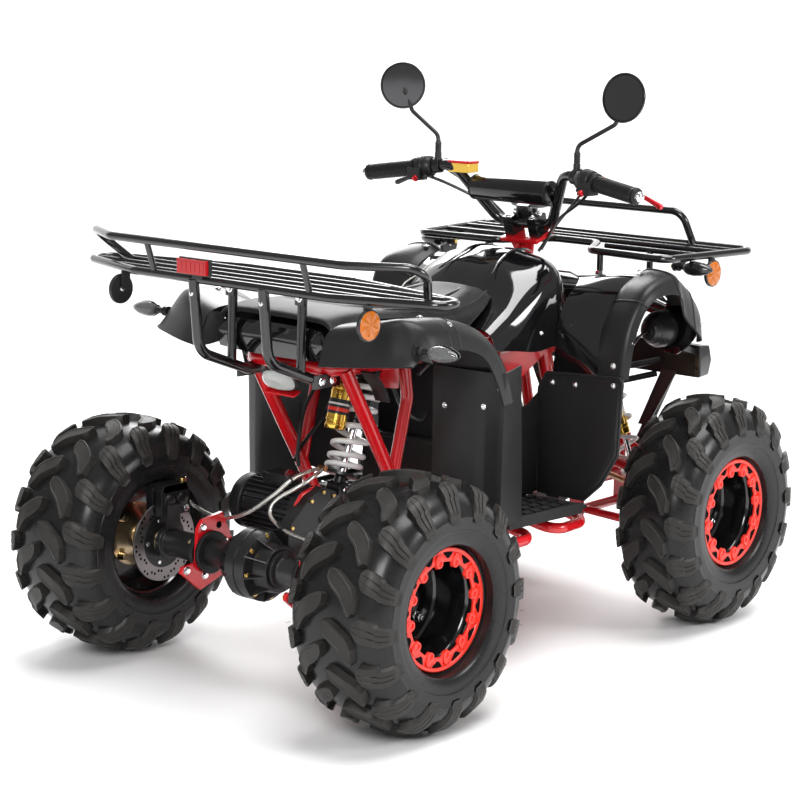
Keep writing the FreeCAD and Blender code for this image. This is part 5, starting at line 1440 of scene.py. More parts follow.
class QUADBIKE_OT_seat(bpy.types.Operator):
    """Build the padded seat with its seams and front panel"""

    bl_idname = "quad_bike.seat"
    bl_label = "Seat"

    def execute(self, context):
        plan = [(104, 100, 640, 700), (122, 124, 637, 714), (150, 134, 636, 718), (220, 142, 636, 720),
                (300, 145, 636, 712), (380, 144, 637, 702), (430, 138, 640, 701), (470, 130, 648, 703),
                (520, 116, 668, 710), (560, 103, 688, 720), (578, 96, 700, 724)]
        sections = [cushion_section(*row) for row in plan]
        columns = [eased([section[j] for section in sections], 3) for j in range(len(sections[0]))]
        rings = [[at(*column[i]) for column in columns] for i in range(len(columns[0]))]
        build = Build("seat_cover", "seat_vinyl")
        build.loft(rings)
        seat = build.place("chassis", "seat_vinyl", ("seat",), angle=60)
        remesh = seat.modifiers.new("even_cloth", "REMESH")
        remesh.mode = "VOXEL"
        remesh.voxel_size = 0.006
        depsgraph = bpy.context.evaluated_depsgraph_get()
        seat.data = bpy.data.meshes.new_from_object(seat.evaluated_get(depsgraph))
        seat.modifiers.clear()
        swell(seat, sizes().seat_swell)
        smooth = seat.modifiers.new("smooth_cloth", "SMOOTH")
        smooth.factor = 0.5
        smooth.iterations = 6
        for polygon in seat.data.polygons:
            polygon.use_smooth = True

        trim = Build("seat_seams", "seat_vinyl")
        for side in (1, -1):
            trim.groove([at(x, side * (half - 13), high - 6) for x, half, _, high in plan[1:-1]], 0.0016, 5)
        trim.groove([at(plan[1][0], y, plan[1][3] - 4) for y in (-112, -60, 0, 60, 112)], 0.0016, 5)
        trim.groove([at(418, y, z) for y, z in ((-126, 694), (-100, 702.5), (-60, 704.6), (0, 705.4), (60, 704.6),
                                                (100, 702.5), (126, 694))], 0.0018, 5)
        trim.use("matte_plastic")
        loop = [(448, -62, 706.6), (532, -46, 715), (548, 0, 718), (532, 46, 715), (448, 62, 706.6), (438, 0, 706)]
        trim.sweep(rounded([at(*p) for p in loop], 0.02, True), 0.0036, 10, True)
        trim.place("chassis", "seat_vinyl")
        return {"FINISHED"}


SWELL_FRAMES = 14


def swell(piece, cap):
    """Blow a closed cover up as cloth under pressure, holding each point near where it was."""
    rest = [v.co.copy() for v in piece.data.vertices]
    scene = bpy.context.scene
    modifier = piece.modifiers.new("stuffing", "CLOTH")
    settings = modifier.settings
    settings.use_pressure = True
    settings.uniform_pressure_force = 4
    settings.effector_weights.gravity = 0
    settings.quality = 4
    modifier.point_cache.frame_start = 1
    modifier.point_cache.frame_end = SWELL_FRAMES
    for number in range(1, SWELL_FRAMES + 1):
        scene.frame_set(number)
    depsgraph = bpy.context.evaluated_depsgraph_get()
    moved = [v.co.copy() for v in piece.evaluated_get(depsgraph).data.vertices]
    piece.modifiers.remove(modifier)
    scene.frame_set(1)
    low = min(v.z for v in rest)
    for vertex, start, end in zip(piece.data.vertices, rest, moved):
        step = end - start
        if step.length > cap:
            step *= cap / step.length
        if start.z - low < 0.012:
            step *= 0
        vertex.co = start + step


class QUADBIKE_OT_covers(bpy.types.Operator):
    """Build the tank cover and the tail"""

    bl_idname = "quad_bike.covers"
    bl_label = "Tank cover and tail"

    def execute(self, context):
        build = Build("tank_cover_shell", "gloss_plastic")
        rows = []
        for x, low_y, low_z, side_y, side_z, top_y, top_z, crown in (
                (500, 165, 606, 142, 640, 80, 648, 0), (560, 170, 600, 146, 668, 80, 680, 2),
                (620, 174, 592, 154, 700, 74, 744, 4), (670, 174, 596, 156, 728, 70, 768, 6),
                (715, 172, 602, 152, 742, 66, 778, 5), (775, 142, 640, 112, 724, 48, 764, 3)):
            half = both_sides([(low_y, low_z), (side_y, side_z), (top_y, top_z)])
            rows.append([(x, y, z) for y, z in half[:3] + [(0, top_z + crown)] + half[3:]])
        build.skin(rows, 4, (7, 7), sharp_rows=(1,))
        crease = ((600, 70, 742), (640, 58, 764), (690, 52, 781), (740, 46, 780), (772, 38, 771))
        for side in (1, -1):
            ridge = eased([at(x, side * y, z) for x, y, z in crease], 6)
            last = len(ridge) - 1
            build.sweep(ridge, [0.0008 + 0.0026 * math.sin(math.pi * k / last) for k in range(last + 1)], 8)
        build.use("pale_trim")
        build.groove([at(*p) for p in ((556, 150, 672), (590, 156, 700), (630, 155, 716), (680, 158, 736),
                                       (722, 152, 746), (768, 118, 728))], 0.0016)
        build.use("bright_steel")
        for side in (1, -1):
            build.screw((640, side * 170, 628), (0, side, 0.2), 4.4)
        build.place("chassis", "gloss_plastic", ("tank_cover",), 1.2)

        tail = Build("tail_shell", "gloss_plastic")
        arch = both_sides([(150, 648), (142, 676), (124, 693), (60, 696)])
        tail.skin([[(x, y * wide, low + (z - 648) * tall) for y, z in arch] for x, wide, low, tall in
                   ((30, 0.92, 648, 0.84), (33, 0.95, 648, 0.96), (60, 0.98, 650, 1.06), (99, 1, 652, 1.16))],
                  4, (5, 4), sharp_rows=(1,))
        tail.skin([[(x, y, z) for y, z in both_sides(half)] for x, half in (
            (31, [(136, 636), (60, 632)]), (26, [(138, 652), (60, 652)]), (24, [(134, 668), (60, 670)]),
            (31, [(122, 685), (60, 689)]))])
        tail.sweep([at(25, -120, 661), at(22, 0, 664), at(25, 120, 661)], 0.0016, 8)
        tail.block((90, -118, 626.6), (400, 236, 8))
        tail.block((90, -108, 626.6), (4, 216, 70))
        tail.use("seat_vinyl")
        edge = both_sides([(150, -16), (128, -3), (60, 1)])
        tail.skin([[(x, y * wide, z + drop * lift) for y, drop in edge] for x, wide, z, lift in
                   ((36, 0.94, 707, 0.6), (48, 0.98, 715, 1), (120, 1, 722, 1), (236, 1, 716, 1))], 3, (6, 5))
        tail.use("matte_plastic")
        for side in (1, -1):
            tail.skin([[(-8, side * 157, 636), (10, side * 148, 638), (34, side * 138, 644)],
                       [(22, side * 157, 699), (32, side * 149, 699), (48, side * 139, 699)]], 3, (4, 4))
            tail.skin([[(100, side * y, z) for y, z in ((118, 640), (150, 652), (172, 664))],
                       [(300, side * y, z) for y, z in ((118, 640), (146, 630), (172, 602))]], 3, (6, 4))
        tail.place("chassis", "gloss_plastic", ("rear_fender",), 1.0)
        return {"FINISHED"}


class QUADBIKE_OT_rear_guards(bpy.types.Operator):
    """Build the rear flares, mudguards and splash panels"""

    bl_idname = "quad_bike.rear_guards"
    bl_label = "Rear mudguards"

    def execute(self, context):
        build = Build("rear_flares_guards", "matte_plastic")
        rows = [[(-9, 156, 635), (0, 215, 640), (20, 275, 645), (36, 314, 648), (50, 332, 650)],
                [(22, 156, 698), (38, 215, 706), (64, 272, 717), (84, 310, 702), (92, 334, 664)],
                [(110, 160, 706), (112, 222, 715), (115, 282, 724), (118, 318, 707), (120, 338, 668)],
                [(190, 172, 692), (190, 234, 704), (190, 290, 717), (192, 322, 700), (192, 338, 664)],
                [(262, 172, 656), (262, 240, 670), (262, 298, 691), (264, 326, 674), (252, 338, 640)],
                [(300, 174, 606), (302, 250, 618), (306, 312, 638), (314, 332, 620), (286, 340, 592)],
                [(322, 176, 552), (322, 260, 554), (328, 318, 558), (346, 333, 548), (304, 343, 546)]]
        build.skin(rows, 4, (6, 6))
        panel = [[(299, 176, z), (300, 300, z), (311, 336 - sink, z), (403 + lean, 300 - lean / 4, z)]
                 for z, sink, lean in ((606, 0, 0), (540, 2, 4), (470, 4, 9), (400, 5, 14), (360, 6, 16),
                                       (302, 7, 17))]
        build.skin(panel, 4, (5, 6), sharp=(1, 2))
        for index, share, push, radius in ((2, 0.5, 0, 0.0016), (2, 0.86, 0, 0.0016), (4, 0.6, 0.0003, 0.0015)):
            ridge = [at(*Vector(a).lerp(Vector(b), share)) for a, b in zip(rows[index], rows[index + 1])]
            build.groove(ridge, radius, lift=(push, 0, 0.0006))
        build.sweep([at(297.5, 190, 548), at(297.5, 296, 551), at(310, 334, 551)], 0.0016, 8)
        build.sweep([at(306, 318, 600), at(312, 320, 470), at(314, 320, 306)], 0.0018, 8)
        build.use("chrome")
        for spot, heading in (
                ((12, 163, 663), (-0.8, 0, 0.6)), ((150, 262, 722), (0, -0.1, 1)), ((176, 312, 711), (0, 0.7, 0.7)),
                ((302, 331, 577), (0.4, 1, 0)), ((296, 205, 530), (-1, 0, 0)), ((296, 300, 540), (-1, 0, 0)),
                ((380, 309, 524), (0.3, 1, 0)), ((384, 308, 366), (0.3, 1, 0))):
            build.screw(spot, heading, 4.2)
        build.mirror()
        build.place("chassis", "matte_plastic", ("rear_flares",), 0.8)

        inner = Build("inner_mudguards_panels", "matte_plastic")
        inner.skin([[(x, y, z) for y in (136, 154, 172)] for x, z in ((172, 546), (158, 574), (130, 606))], 4, (6, 3))
        inner.mirror()
        inner.skin([[(x, y, z + fall * (y - 104) / 70) for y in (46, 92, 136, 176)]
                    for x, z, fall in ((299, 560, 0), (298, 500, 0), (300, 420, 2), (301, 352, 8))], 3, (4, 4))
        inner.place("chassis", "matte_plastic", ("inner_mudguards",), 0.8)
        return {"FINISHED"}


class QUADBIKE_OT_front_guards(bpy.types.Operator):
    """Build the front flares, the fender and the nose"""

    bl_idname = "quad_bike.front_guards"
    bl_label = "Front mudguards"

    def execute(self, context):
        rows = [[(678.4, 286, 540), (678.4, 300, 540), (678.4, 338, 545), (692, 352, 548)],
                [(686, 280, 600), (684, 296, 602), (684, 340, 604), (698, 356, 604)],
                [(714, 270, 648), (706, 290, 652), (698, 340, 655), (712, 358, 650)],
                [(745, 270, 690), (738, 290, 697), (722, 346, 702), (734, 364, 690)],
                [(778, 270, 720), (774, 292, 730), (762, 348, 732), (774, 369, 711)],
                [(838, 270, 741), (836, 296, 753), (832, 352, 745), (834, 374, 706)],
                [(864, 270, 732), (862, 298, 743), (860, 352, 732), (856, 373, 660)],
                [(905, 270, 708), (904, 300, 717), (902, 350, 702), (896, 372, 630)],
                [(950, 272, 670), (948, 300, 676), (944, 346, 660), (934, 364, 604)],
                [(968, 276, 636), (964, 300, 636), (952, 340, 618), (938, 350, 596)]]
        build = Build("front_flares_arches", "matte_plastic")
        build.skin(rows, 4, (5, 5))
        for index in (3, 5, 7):
            build.groove([at(*p) for p in rows[index]], 0.0017, 5, (0, 0, 0.0006))
        build.use("bright_steel")
        for spot, heading in (((814, 286, 751), (0, -0.2, 1)), ((680, 322, 574), (-1, 0, 0)),
                              ((926, 366, 640), (0.2, 1, 0.3)), ((700, 350, 620), (-0.8, 0.6, 0))):
            build.screw(spot, heading, 5)
        build.mirror()
        build.place("chassis", "matte_plastic", ("front_flares",), 0.8)

        wing = [[(678.4, 172, 540), (678.4, 230, 540), (678.4, 285.7, 540)],
                [(683, 173, 590), (688, 225, 592), (694, 277, 594)],
                [(690, 174, 639), (702, 220, 644), (714, 269.7, 648)],
                [(702, 176, 679), (722, 222, 686), (745, 269.7, 690)],
                [(734, 174, 705), (752, 222, 714), (772, 269.7, 716)],
                [(790, 150, 724), (812, 210, 736), (838, 269.7, 741)],
                [(880, 60, 722), (880, 180, 724), (884, 269.7, 720)]]
        fender = Build("front_fender_panels", "gloss_plastic")
        fender.skin(wing, 4, (6, 6))
        fender.mirror()
        nose = [[(x, y, z) for y, z in both_sides(half)] for x, half in (
            (880, [(269, 720), (180, 724), (60, 722)]), (950, [(269, 668), (180, 690), (60, 698)]),
            (1040, [(240, 640), (170, 660), (60, 672)]), (1074, [(200, 606), (140, 624), (50, 634)]))]
        fender.skin(nose, 4, (6, 6))
        for side in (1, -1):
            fender.skin([[(x, side * y, z) for y, z in row] for x, row in (
                (948, ((262, 676), (300, 680), (342, 652))), (954, ((250, 620), (296, 620), (338, 612))),
                (950, ((256, 566), (288, 562), (318, 584))))], 3)
        for y in (-120, 0, 120):
            rib = [at(x, y * share, z) for x, share, z in ((890, 1, 723), (950, 1, 700), (1036, 0.9, 676),
                                                           (1070, 0.8, 640))]
            fender.groove(rib, 0.0022, lift=(0, 0, 0.0005))
        fender.use("bright_steel")
        for side in (1, -1):
            fender.screw((700, side * 200, 640), (-1, 0, 0.2), 4.6)
            fender.screw((980, side * 220, 672), (0, side * 0.4, 1), 4.6)
        fender.place("chassis", "gloss_plastic", ("front_fender",), 0.8)
        return {"FINISHED"}


class QUADBIKE_OT_foot_wells(bpy.types.Operator):
    """Build the leg shields and footboards"""

    bl_idname = "quad_bike.foot_wells"
    bl_label = "Leg shields and footboards"

    def execute(self, context):
        shield = Build("leg_shields_panels", "matte_plastic")
        rows = []
        for z, inner, outer, bulge in ((288, 144, 262, 0), (304, 143, 282, 1), (330, 142, 304, 2), (392, 141, 343, 5),
                                       (440, 141, 347, 6), (508, 140, 350, 4), (541, 160, 351, 0)):
            x = 674 - bulge
            rows.append([(674 - bulge * 0.3, inner, z), (x, inner + 26, z), (x + 1, (inner + outer) / 2, z),
                         (x, outer - 20, z), (676, outer, z)])
        shield.skin(rows, 4, (5, 5))
        shield.slab([(676, 139, 290), (676, 139, 500), (640, 138, 478), (606, 138, 470), (610, 138, 290)], (0, 4, 0))
        for x in (628, 648):
            shield.tube([(x, 136, 292), (x + 6, 135, 400), (x + 16, 136, 430)], 2.6, 20, sides=8)
        shield.slab([(674, 160, 541), (674, 350, 552), (674, 350, 538), (674, 160, 528)], (5, 0, 0))
        shield.slab([(674, 168, 284), (674, 198, 284), (674, 198, 322), (674, 168, 322)], (4, 0, 0))
        rim = rounded([at(675, 141, 300), at(675, 141, 508), at(675, 160, 542), at(675, 349, 552), at(675, 343, 394),
                       at(675, 304, 328), at(675, 262, 290)], 0.010)
        shield.sweep(rim, 0.0032, 10)
        shield.use("bright_steel")
        for y, z in ((178, 524), (236, 526), (330, 536)):
            shield.screw((671, y, z), (-1, 0, 0), 4.4)
        shield.mirror()
        shield.place("chassis", "matte_plastic", ("leg_shields",), 1.0)

        board = Build("footboards_treads", "board_plastic")
        outline = [(430, 125), (430, 262), (650, 278), (674, 272), (676, 206), (712, 196), (735, 158), (790, 144),
                   (790, 125)]
        board.slab([(x, y, 276.3) for x, y in outline], (0, 0, 6))
        for row in range(7):
            for column in range(6):
                x, y = 452 + row * 30, 142 + column * 28
                if y < 240 + (x - 430) * 0.07:
                    board.block((x, y, 282), (22, 16, 4.5))
        board.slab([(430, 258, 270), (430, 264, 270), (650, 280, 270), (650, 274, 270)], (0, 0, 22))
        for index in range(9):
            board.block((440 + index * 24, 262 + index * 1.75, 272), (14, 3, 17))
        board.block((430, 126, 282), (250, 5, 8))
        board.use("bright_steel")
        for x, y in ((446, 140), (446, 250), (650, 140), (640, 262)):
            board.screw((x, y, 283), (0, 0, 1), 5)
        board.mirror()
        board.place("chassis", "black_steel", ("footboards",), 0.9)
        return {"FINISHED"}


# Bumper and racks

class QUADBIKE_OT_bumper(bpy.types.Operator):
    """Build the front bumper"""

    bl_idname = "quad_bike.bumper"
    bl_label = "Front bumper"

    def execute(self, context):
        build = Build("front_bumper_bar", "matte_plastic")
        outline = [(1084, 492), (1120, 495), (1130, 527), (1120, 559), (1084, 562)]
        build.loft([[at(x, y, z) for x, z in outline] for y in (-250, 250)])
        build.use("grey_paint")
        for side in (1, -1):
            build.loft([[at(x, side * 250.4, z) for x, z in outline], [at(x, side * 260, z) for x, z in outline],
                        [at(x + (1104 - x) * 0.12, side * 263, z + (527 - z) * 0.12) for x, z in outline]])
        build.use("satin_powder")
        mark = build.mark()
        build.tube([(1096, 186, 507), (1088, 74, 250)], 12)
        build.block((1074.3, 57, 245), (12, 30, 36))
        build.use("grey_paint")
        build.slab([(1084, 206, 500), (1084, 166, 500), (1079, 112, 372), (1079, 138, 372)], (-4, 0, 0))
        build.use("satin_powder")
        build.tube([(1086, 158, 520), (1040, 110, 505), (968, 84, 520)], 7, 40)
        build.tube([(1086, 150, 488), (1040, 104, 474), (960, 78, 470)], 7, 40)
        build.use("bright_steel")
        for z in (252, 272):
            build.bolt((1086.5, 72, z), (1, 0, 0), 5)
        build.mirror(mark)
        build.place("chassis", "black_steel", ("front_bumper",), 1.6)
        return {"FINISHED"}


class QUADBIKE_OT_racks(bpy.types.Operator):
    """Build the front and rear racks of bent rod"""

    bl_idname = "quad_bike.racks"
    bl_label = "Racks"

    def execute(self, context):
        rod = sizes().rack_tube * 1000
        level = 775
        front = Build("front_rack_rods", "gloss_powder")
        outline = [(840, 330), (1120, 362), (1120, -362), (840, -330), (862, -124), (976, -60), (976, 60), (862, 124)]
        front.tube([(x, y, level) for x, y in outline], rod, 26, True)
        for x, half in ((1030, 350), (1075, 356)):
            front.tube([(x, -half, level), (x, half, level)], 6)
        front.tube([(1112, 215, level), (1085, 200, 846), (1085, -200, 846), (1112, -215, level)], rod, 32)
        mark = front.mark()
        front.tube([(862, 150, 726), (862, 150, level)], 7)
        front.tube([(950, 215, 690), (950, 215, level)], 7)
        front.tube([(950, 100, level), (950, 342, level)], 6)
        front.use("chrome")
        front.bolt((862, 150, 728), (0, 0, 1), 9, False)
        front.mirror(mark)
        front.place("chassis", "black_steel", ("front_rack",))

        level, hoop = 778, 842
        rear = Build("rear_rack_rods", "gloss_powder")
        outline = [(-80, 255), (-15, 452), (35, 452), (112, 140), (112, -140), (35, -452), (-15, -452), (-80, -255)]
        rear.tube([(x, y, level) for x, y in outline], rod, 30, True)
        for x, half in ((-40, 370), (0, 446), (40, 430), (80, 266)):
            rear.tube([(x, -half, level), (x, half, level)], 6)
        rear.tube([(30, 382, level), (-30, 430, hoop), (-100, 300, hoop), (-100, -300, hoop), (-30, -430, hoop),
                   (30, -382, level)], rod, 36)
        mark = rear.mark()
        rear.tube([(-78, 200, level), (-100, 200, hoop)], 6)
        rear.tube([(-84, 90, level), (-70, 90, 640), (60, 90, 591.4), (88, 90, 591.4)], rod + 2.2, 44)
        rear.tube([(20, 90, level), (16, 90, 606)], 9)
        for x in (-86, 10):
            rear.use("gloss_powder")
            rear.block((x, 79, 738), (6, 22, 28))
            rear.use("chrome")
            rear.bolt((x, 90, 752), (-1, 0, 0))
        rear.use("gloss_powder")
        rear.slab([(40, 96, 578), (112, 96, 578), (116, 96, 604), (40, 96, 604)], (0, 5, 0))
        rear.use("chrome")
        for x in (62, 92):
            rear.bolt((x, 101, 591), (0, 1, 0), 6)
        rear.mirror(mark)
        rear.place("chassis", "black_steel", ("rear_rack",), 0.5)
        return {"FINISHED"}


# Lamps

HEAD_Y, HEAD_Z = 262, 616


class QUADBIKE_OT_lamps(bpy.types.Operator):
    """Build the headlights, tail lamp, reflectors and turn signals"""

    bl_idname = "quad_bike.lamps"
    bl_label = "Lamps and reflectors"

    def execute(self, context):
        head = Build("headlights_cases", "satin_powder")
        centre = at(884, HEAD_Y, HEAD_Z)
        head.turned(centre, AHEAD, [(0, 6), (0, 16), (3, 21), (14, 27), (24, 34), (34, 38), (56, 38.5), (58, 37.5),
                                    (58, 34), (52, 33)], 40)
        head.use("lamp_inside")
        head.turned(centre, AHEAD, [(30, 6), (36, 18), (46, 29), (55, 34), (56, 34)], 40)
        head.use("clear_lens")
        head.turned(centre, AHEAD, [(56.5, 35), (59, 30), (61, 18), (61.5, 4), (60, 3), (57, 28)], 40)
        head.use("satin_powder")
        for c, s in circle(6):
            rib = [at(x, HEAD_Y + reach * c, HEAD_Z + reach * s) for x, reach in ((894, 20), (918, 34), (918, 26))]
            push = Vector((0, -s, c)) * 0.002
            head.loft([[p - push for p in rib], [p + push for p in rib]])
        head.use("cast_grey")
        head.turned(centre, AHEAD, [(13, 27.6), (15, 28.6), (18, 30), (20, 31)], 40)
        head.use("soft_rubber")
        head.turned(centre, (-1, 0, 0), [(-3, 14), (2, 13), (4, 9), (4, 4)], 28)
        head.use("satin_powder")
        stay = [(916, 250, 592), (1083.7, 226, 540)]
        head.loft([[at(x, y, z), at(x, y + 24, z), at(x, y + 24, z + 14), at(x, y, z + 14)] for x, y, z in stay])
        head.use("cable_black")
        head.cord([(882, 262, 616), (862, 256, 606), (868, 230, 580), (896, 180, 560), (905, 100, 560)], 3.2)
        head.mirror()
        head.place("chassis", "lamp_clear", ("headlights",), 0.8)

        marks = Build("reflectors_set", "gloss_powder")
        for x, y, z, r, top in ((-56, 316, 734, 29, 770.2), (975, 352, 738, 28, 767.2)):
            centre = at(x, y, z)
            marks.use("satin_powder")
            marks.turned(centre, ACROSS, [(-0.5, 10), (0, r - 1), (1.5, r), (6.6, r), (7.6, r - 2)], 48)
            marks.block((x - 4, y - 6, z), (20, 5, top - z))
            marks.use("amber_lens")
            marks.loft([[centre + Vector((c * reach, lift + step * (k % 4 in (1, 2)), s * reach)) / 1000
                         for k, (c, s) in enumerate(circle(32))] for reach, lift, step in (
                (r - 2, 6.4, 0), (r - 2.8, 8.0, 0), (r - 4, 8.4, 0.9), (r * 0.5, 8.4, 1.4), (2.5, 9.6, 0.3))])
            marks.use("bright_steel")
            marks.turned(centre, (0, -1, 0), [(0, 6), (2, 6), (2, 4), (5, 4)], 6)
        marks.mirror()
        marks.use("satin_powder")
        marks.block((-98, 34, 788), (7, 80, 32))
        marks.block((-92, 60, 780), (8, 26, 20))
        marks.use("red_lens")
        marks.block((-106, 36, 790), (8, 76, 28))
        for k in range(6):
            marks.block((-106.8, 40 + k * 11.6, 794), (1, 9.6, 20))
        back, rise = Vector((-56, 0, -24)).normalized(), Vector((-24, 0, 56)).normalized()
        for finish, layers in (("satin_powder", ((-4, 36, 18), (0, 43, 22), (8, 44, 23), (10, 42, 21), (10, 30, 12))),
                               ("spring_white", ((6, 20, 8), (10.2, 41, 20), (11.4, 40, 19), (12, 20, 9))),
                               ("clear_lens", ((10.6, 41, 20.5), (15, 38, 18), (19, 28, 12), (20.5, 8, 4)))):
            marks.use(finish)
            marks.loft([[at(54, math.copysign(abs(c) ** 0.8, c) * wide - 6, 588) + back * (along / 1000)
                         + rise * (math.copysign(abs(s) ** 0.8, s) * high / 1000) for c, s in circle(40)]
                        for along, wide, high in layers])
        marks.use("frame_red")
        marks.slab([(48, -44, 558), (48, 34, 558), (66, 34, 566), (66, -44, 566)], (-1, 0, -3))
        marks.block((50, -15, 590), (20, 30, 24))
        marks.use("brass")
        marks.turned(at(140, 12, 622), UP, [(0, 5), (14, 5), (15, 4)], 16)
        marks.place("chassis", "reflector_amber", ("reflectors",), 0.6)

        turns = Build("turn_signals_stalks", "satin_powder")
        for x, y, z, reach, sign in ((72, 320.2, 676, 100, -1), (922, 296, 752, 92, 1)):
            centre = at(x, y, z)
            turns.use("soft_rubber")
            stalk = [(0, 6), (0.2, 10), (3, 10.5), (5, 8), (9, 8), (11, 9.4), (14, 9.4), (16, 7)]
            folds = [(reach - 78 + k * 3, 5.4 + k % 2) for k in range(5)]
            turns.turned(centre, ACROSS, stalk + folds + [(reach - 62, 8)], 24)
            back = [(reach - 63, 4), (reach - 62, 10), (reach - 54, 14.5), (reach - 40, 16), (reach - 22, 14),
                    (reach - 6, 8), (reach, 3)]
            for finish, scale, shift, sink in (("gloss_powder", 1.0, -sign, 0), ("clear_lens", 0.93, sign, 0.6)):
                turns.use(finish)
                turns.loft([[at(x + shift * 3 + (c if c * shift > 0 else c * 0.12) * radius * scale,
                                y + along - sink, z + s * radius * 0.98 * scale) for c, s in circle(24)]
                            for along, radius in back])
            turns.use("cast_grey")
            turns.loft([[at(x + sign * 3.4, y + along, z + s * radius * 0.7) for s in (-1, 1)]
                        + [at(x + sign * 2.8, y + along, z + s * radius * 0.7) for s in (1, -1)]
                        for along, radius in back[1:-1]])
            turns.use("brass")
            turns.turned(centre - Vector((0, 0.006, 0)), ACROSS, [(0, 5), (5.8, 5), (5.9, 3)], 6)
        turns.use("satin_powder")
        turns.block((918, 302, 752), (36, 8, 17.4))
        turns.mirror()
        turns.place("chassis", "lamp_clear", ("turn_signals",), 0.5)
        return {"FINISHED"}


class QUADBIKE_OT_wiring(bpy.types.Operator):
    """Build the control cables and the wiring that show"""

    bl_idname = "quad_bike.wiring"
    bl_label = "Cables"

    def execute(self, context):
        bars = Build("bar_cables", "cable_black")
        bars.cord([(724, 222, 918), (744, 170, 900), (770, 110, 872), (800, 70, 840), (812, 40, 800),
                   (806, 30, 770)], 3.4)
        bars.cord([(724, -222, 918), (740, -186, 890), (760, -120, 850), (800, -70, 820), (816, -40, 790),
                   (806, -30, 768)], 3.4)
        for side in (-1, 1):
            bars.cord([(742, side * 178, 934), (786, side * 150, 900), (812, side * 100, 860), (820, side * 60, 820),
                       (808, side * 36, 772)], 3)
        bars.place("steering", "matte_plastic")

        loom = Build("chassis_loom", "cable_black")
        for points in ([(270, 40, 596), (250, 66, 560), (210, 80, 500), (170, 60, 430), (150, 40, 396)],
                       [(280, -36, 600), (300, -60, 560), (330, -70, 500), (380, -70, 470), (410, -60, 480)],
                       [(170, 70, 400), (220, 96, 420), (280, 96, 470), (330, 84, 560)]):
            loom.cord(points, 4)
        loom.use("wire_orange")
        loom.cord([(418, -90, 486), (452, -150, 520), (500, -170, 526), (536, -150, 500), (540, -104, 470)], 2.4)
        loom.place("chassis", "hose_braid")
        return {"FINISHED"}


# Stage

FLOOR_REACH = 30
SCREEN_TURN, SCREEN_AWAY = 0.712, 9
CAMERA_SPOT = (-3.011 - AXLE_X, -2.945, 1.346)
CAMERA_TURNS = (40.79, -10.65, 0.91)  # yaw, pitch and roll in degrees
LIGHTS = (("key", (-2.9, -1.8, 2.2), (0, 0, 0.5), 1.3, 75), ("side", (1.2, -3.4, 1.9), (0.2, 0, 0.5), 1.1, 55),
          ("rim", (2.4, 2.4, 2.4), (0, 0, 0.6), 1.6, 60))


def linked(name, data):
    """A new object of the scene."""
    made = bpy.data.objects.new(name, data)
    bpy.context.scene.collection.objects.link(made)
    return made


def sheet(name, corners, finish, *look):
    """A flat sheet of the stage with a finish of its own, and that finish's shader."""
    mesh = bpy.data.meshes.new(name)
    mesh.from_pydata(corners, [], [(0, 1, 2, 3)])
    material, tree, shader = new_material(finish)
    uneven(tree, shader, *look)
    mesh.materials.append(material)
    return linked(name, mesh), shader


def shining(run):
    """The turn of a light that shines along a direction."""
    return run.to_track_quat("-Z", "Y").to_euler()


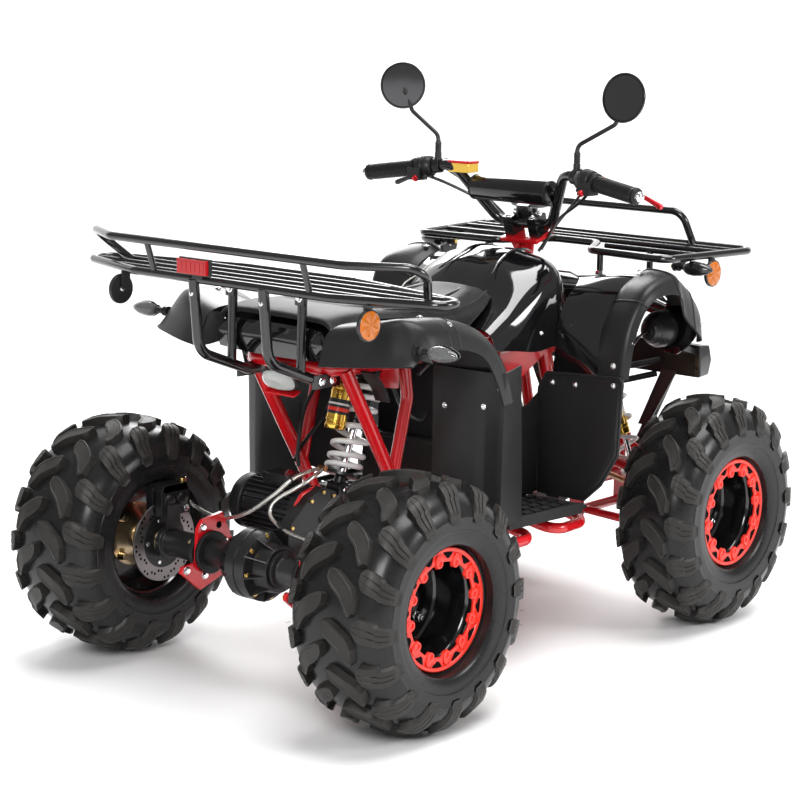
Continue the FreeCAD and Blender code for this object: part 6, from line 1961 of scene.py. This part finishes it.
class QUADBIKE_OT_stage(bpy.types.Operator):
    """Set the pale floor, the soft lights and the camera"""

    bl_idname = "quad_bike.stage"
    bl_label = "Stage"

    def execute(self, context):
        scene = bpy.context.scene
        make_groups()
        corners = [(x * FLOOR_REACH, y * FLOOR_REACH, 0) for x, y in ((-1, -1), (1, -1), (1, 1), (-1, 1))]
        floor, shader = sheet("studio_floor", corners, "floor_white", (0.93, 0.93, 0.93), 0.55, 0.01, 0.02)
        ahead = Vector((math.cos(SCREEN_TURN), math.sin(SCREEN_TURN), 0))
        beside = Vector((ahead.y, -ahead.x, 0))
        corners = [ahead * SCREEN_AWAY + beside * w + Vector((0, 0, h))
                   for w, h in ((-14, -0.5), (14, -0.5), (14, 9), (-14, 9))]
        wall, shader = sheet("studio_screen", corners, "screen_white", (0.5, 0.5, 0.5), 0.9, 0.01, 0.0)
        shader.inputs["Emission Strength"].default_value = 0.95
        shader.inputs["Emission Color"].default_value = (1, 1, 1, 1)

        scene.world = bpy.data.worlds.new("studio")
        scene.world.use_nodes = True
        background = scene.world.node_tree.nodes["Background"]
        background.inputs["Color"].default_value = (1, 1, 1, 1)
        background.inputs["Strength"].default_value = 0.32
        sun = linked("sky_light", bpy.data.lights.new("sky_light", "SUN"))
        sun.data.energy = 2.8
        sun.data.angle = math.radians(38)
        sun.rotation_euler = shining(Vector((-0.18, 0.10, -1)))
        for name, spot, target, size, power in LIGHTS:
            lamp = linked(name, bpy.data.lights.new(name, "AREA"))
            lamp.data.size = size
            lamp.data.energy = power
            lamp.location = spot
            lamp.rotation_euler = shining(Vector(target) - Vector(spot))

        camera = linked("photo_camera", bpy.data.cameras.new("photo_camera"))
        camera.data.sensor_width = 36
        camera.data.lens = sizes().lens
        camera.data.clip_start = 0.05
        camera.data.clip_end = 100
        yaw, pitch, roll = [math.radians(angle) for angle in CAMERA_TURNS]
        ahead = Vector((math.cos(yaw) * math.cos(pitch), math.sin(yaw) * math.cos(pitch), math.sin(pitch)))
        right = Vector((math.sin(yaw), -math.cos(yaw), 0))
        up = right.cross(ahead)
        across = right * math.cos(roll) + up * math.sin(roll)
        upward = up * math.cos(roll) - right * math.sin(roll)
        turn = Matrix((across, upward, -ahead)).transposed()
        camera.matrix_world = Matrix.Translation(CAMERA_SPOT) @ turn.to_4x4()
        scene.camera = camera
        scene.view_settings.view_transform = "Standard"
        return {"FINISHED"}


OPERATORS = (QUADBIKE_OT_stage, QUADBIKE_OT_tyres, QUADBIKE_OT_rims, QUADBIKE_OT_hubs, QUADBIKE_OT_frame,
             QUADBIKE_OT_steering, QUADBIKE_OT_controls, QUADBIKE_OT_mirrors, QUADBIKE_OT_display,
             QUADBIKE_OT_front_arms, QUADBIKE_OT_dampers, QUADBIKE_OT_drive, QUADBIKE_OT_brakes, QUADBIKE_OT_battery,
             QUADBIKE_OT_seat, QUADBIKE_OT_covers, QUADBIKE_OT_rear_guards, QUADBIKE_OT_front_guards,
             QUADBIKE_OT_foot_wells, QUADBIKE_OT_bumper, QUADBIKE_OT_racks, QUADBIKE_OT_lamps, QUADBIKE_OT_wiring)


class QUADBIKE_PT_panel(bpy.types.Panel):
    """The quad bike's pieces, sizes and colours in the sidebar"""

    bl_idname = "QUADBIKE_PT_panel"
    bl_label = "Quad Bike"
    bl_space_type = "VIEW_3D"
    bl_region_type = "UI"
    bl_category = "Quad Bike"

    def draw(self, context):
        layout = self.layout
        for group in (context.scene.quad_bike_sizes, context.scene.quad_bike_colours):
            for word in group.bl_rna.properties.keys():
                if word not in ("rna_type", "name"):
                    layout.prop(group, word)
        for operator in OPERATORS:
            layout.operator(operator.bl_idname)


CLASSES = (QuadBikeSizes, QuadBikeColours) + OPERATORS + (QUADBIKE_PT_panel,)


def register():
    for cls in CLASSES:
        bpy.utils.register_class(cls)
    bpy.types.Scene.quad_bike_sizes = bpy.props.PointerProperty(type=QuadBikeSizes)
    bpy.types.Scene.quad_bike_colours = bpy.props.PointerProperty(type=QuadBikeColours)


def unregister():
    del bpy.types.Scene.quad_bike_sizes
    del bpy.types.Scene.quad_bike_colours
    for cls in reversed(CLASSES):
        bpy.utils.unregister_class(cls)


def main():
    """Build everything round the frame."""
    register()
    for operator in OPERATORS:
        group, word = operator.bl_idname.split(".")
        getattr(getattr(bpy.ops, group), word)()


if __name__ == "__main__":
    main()
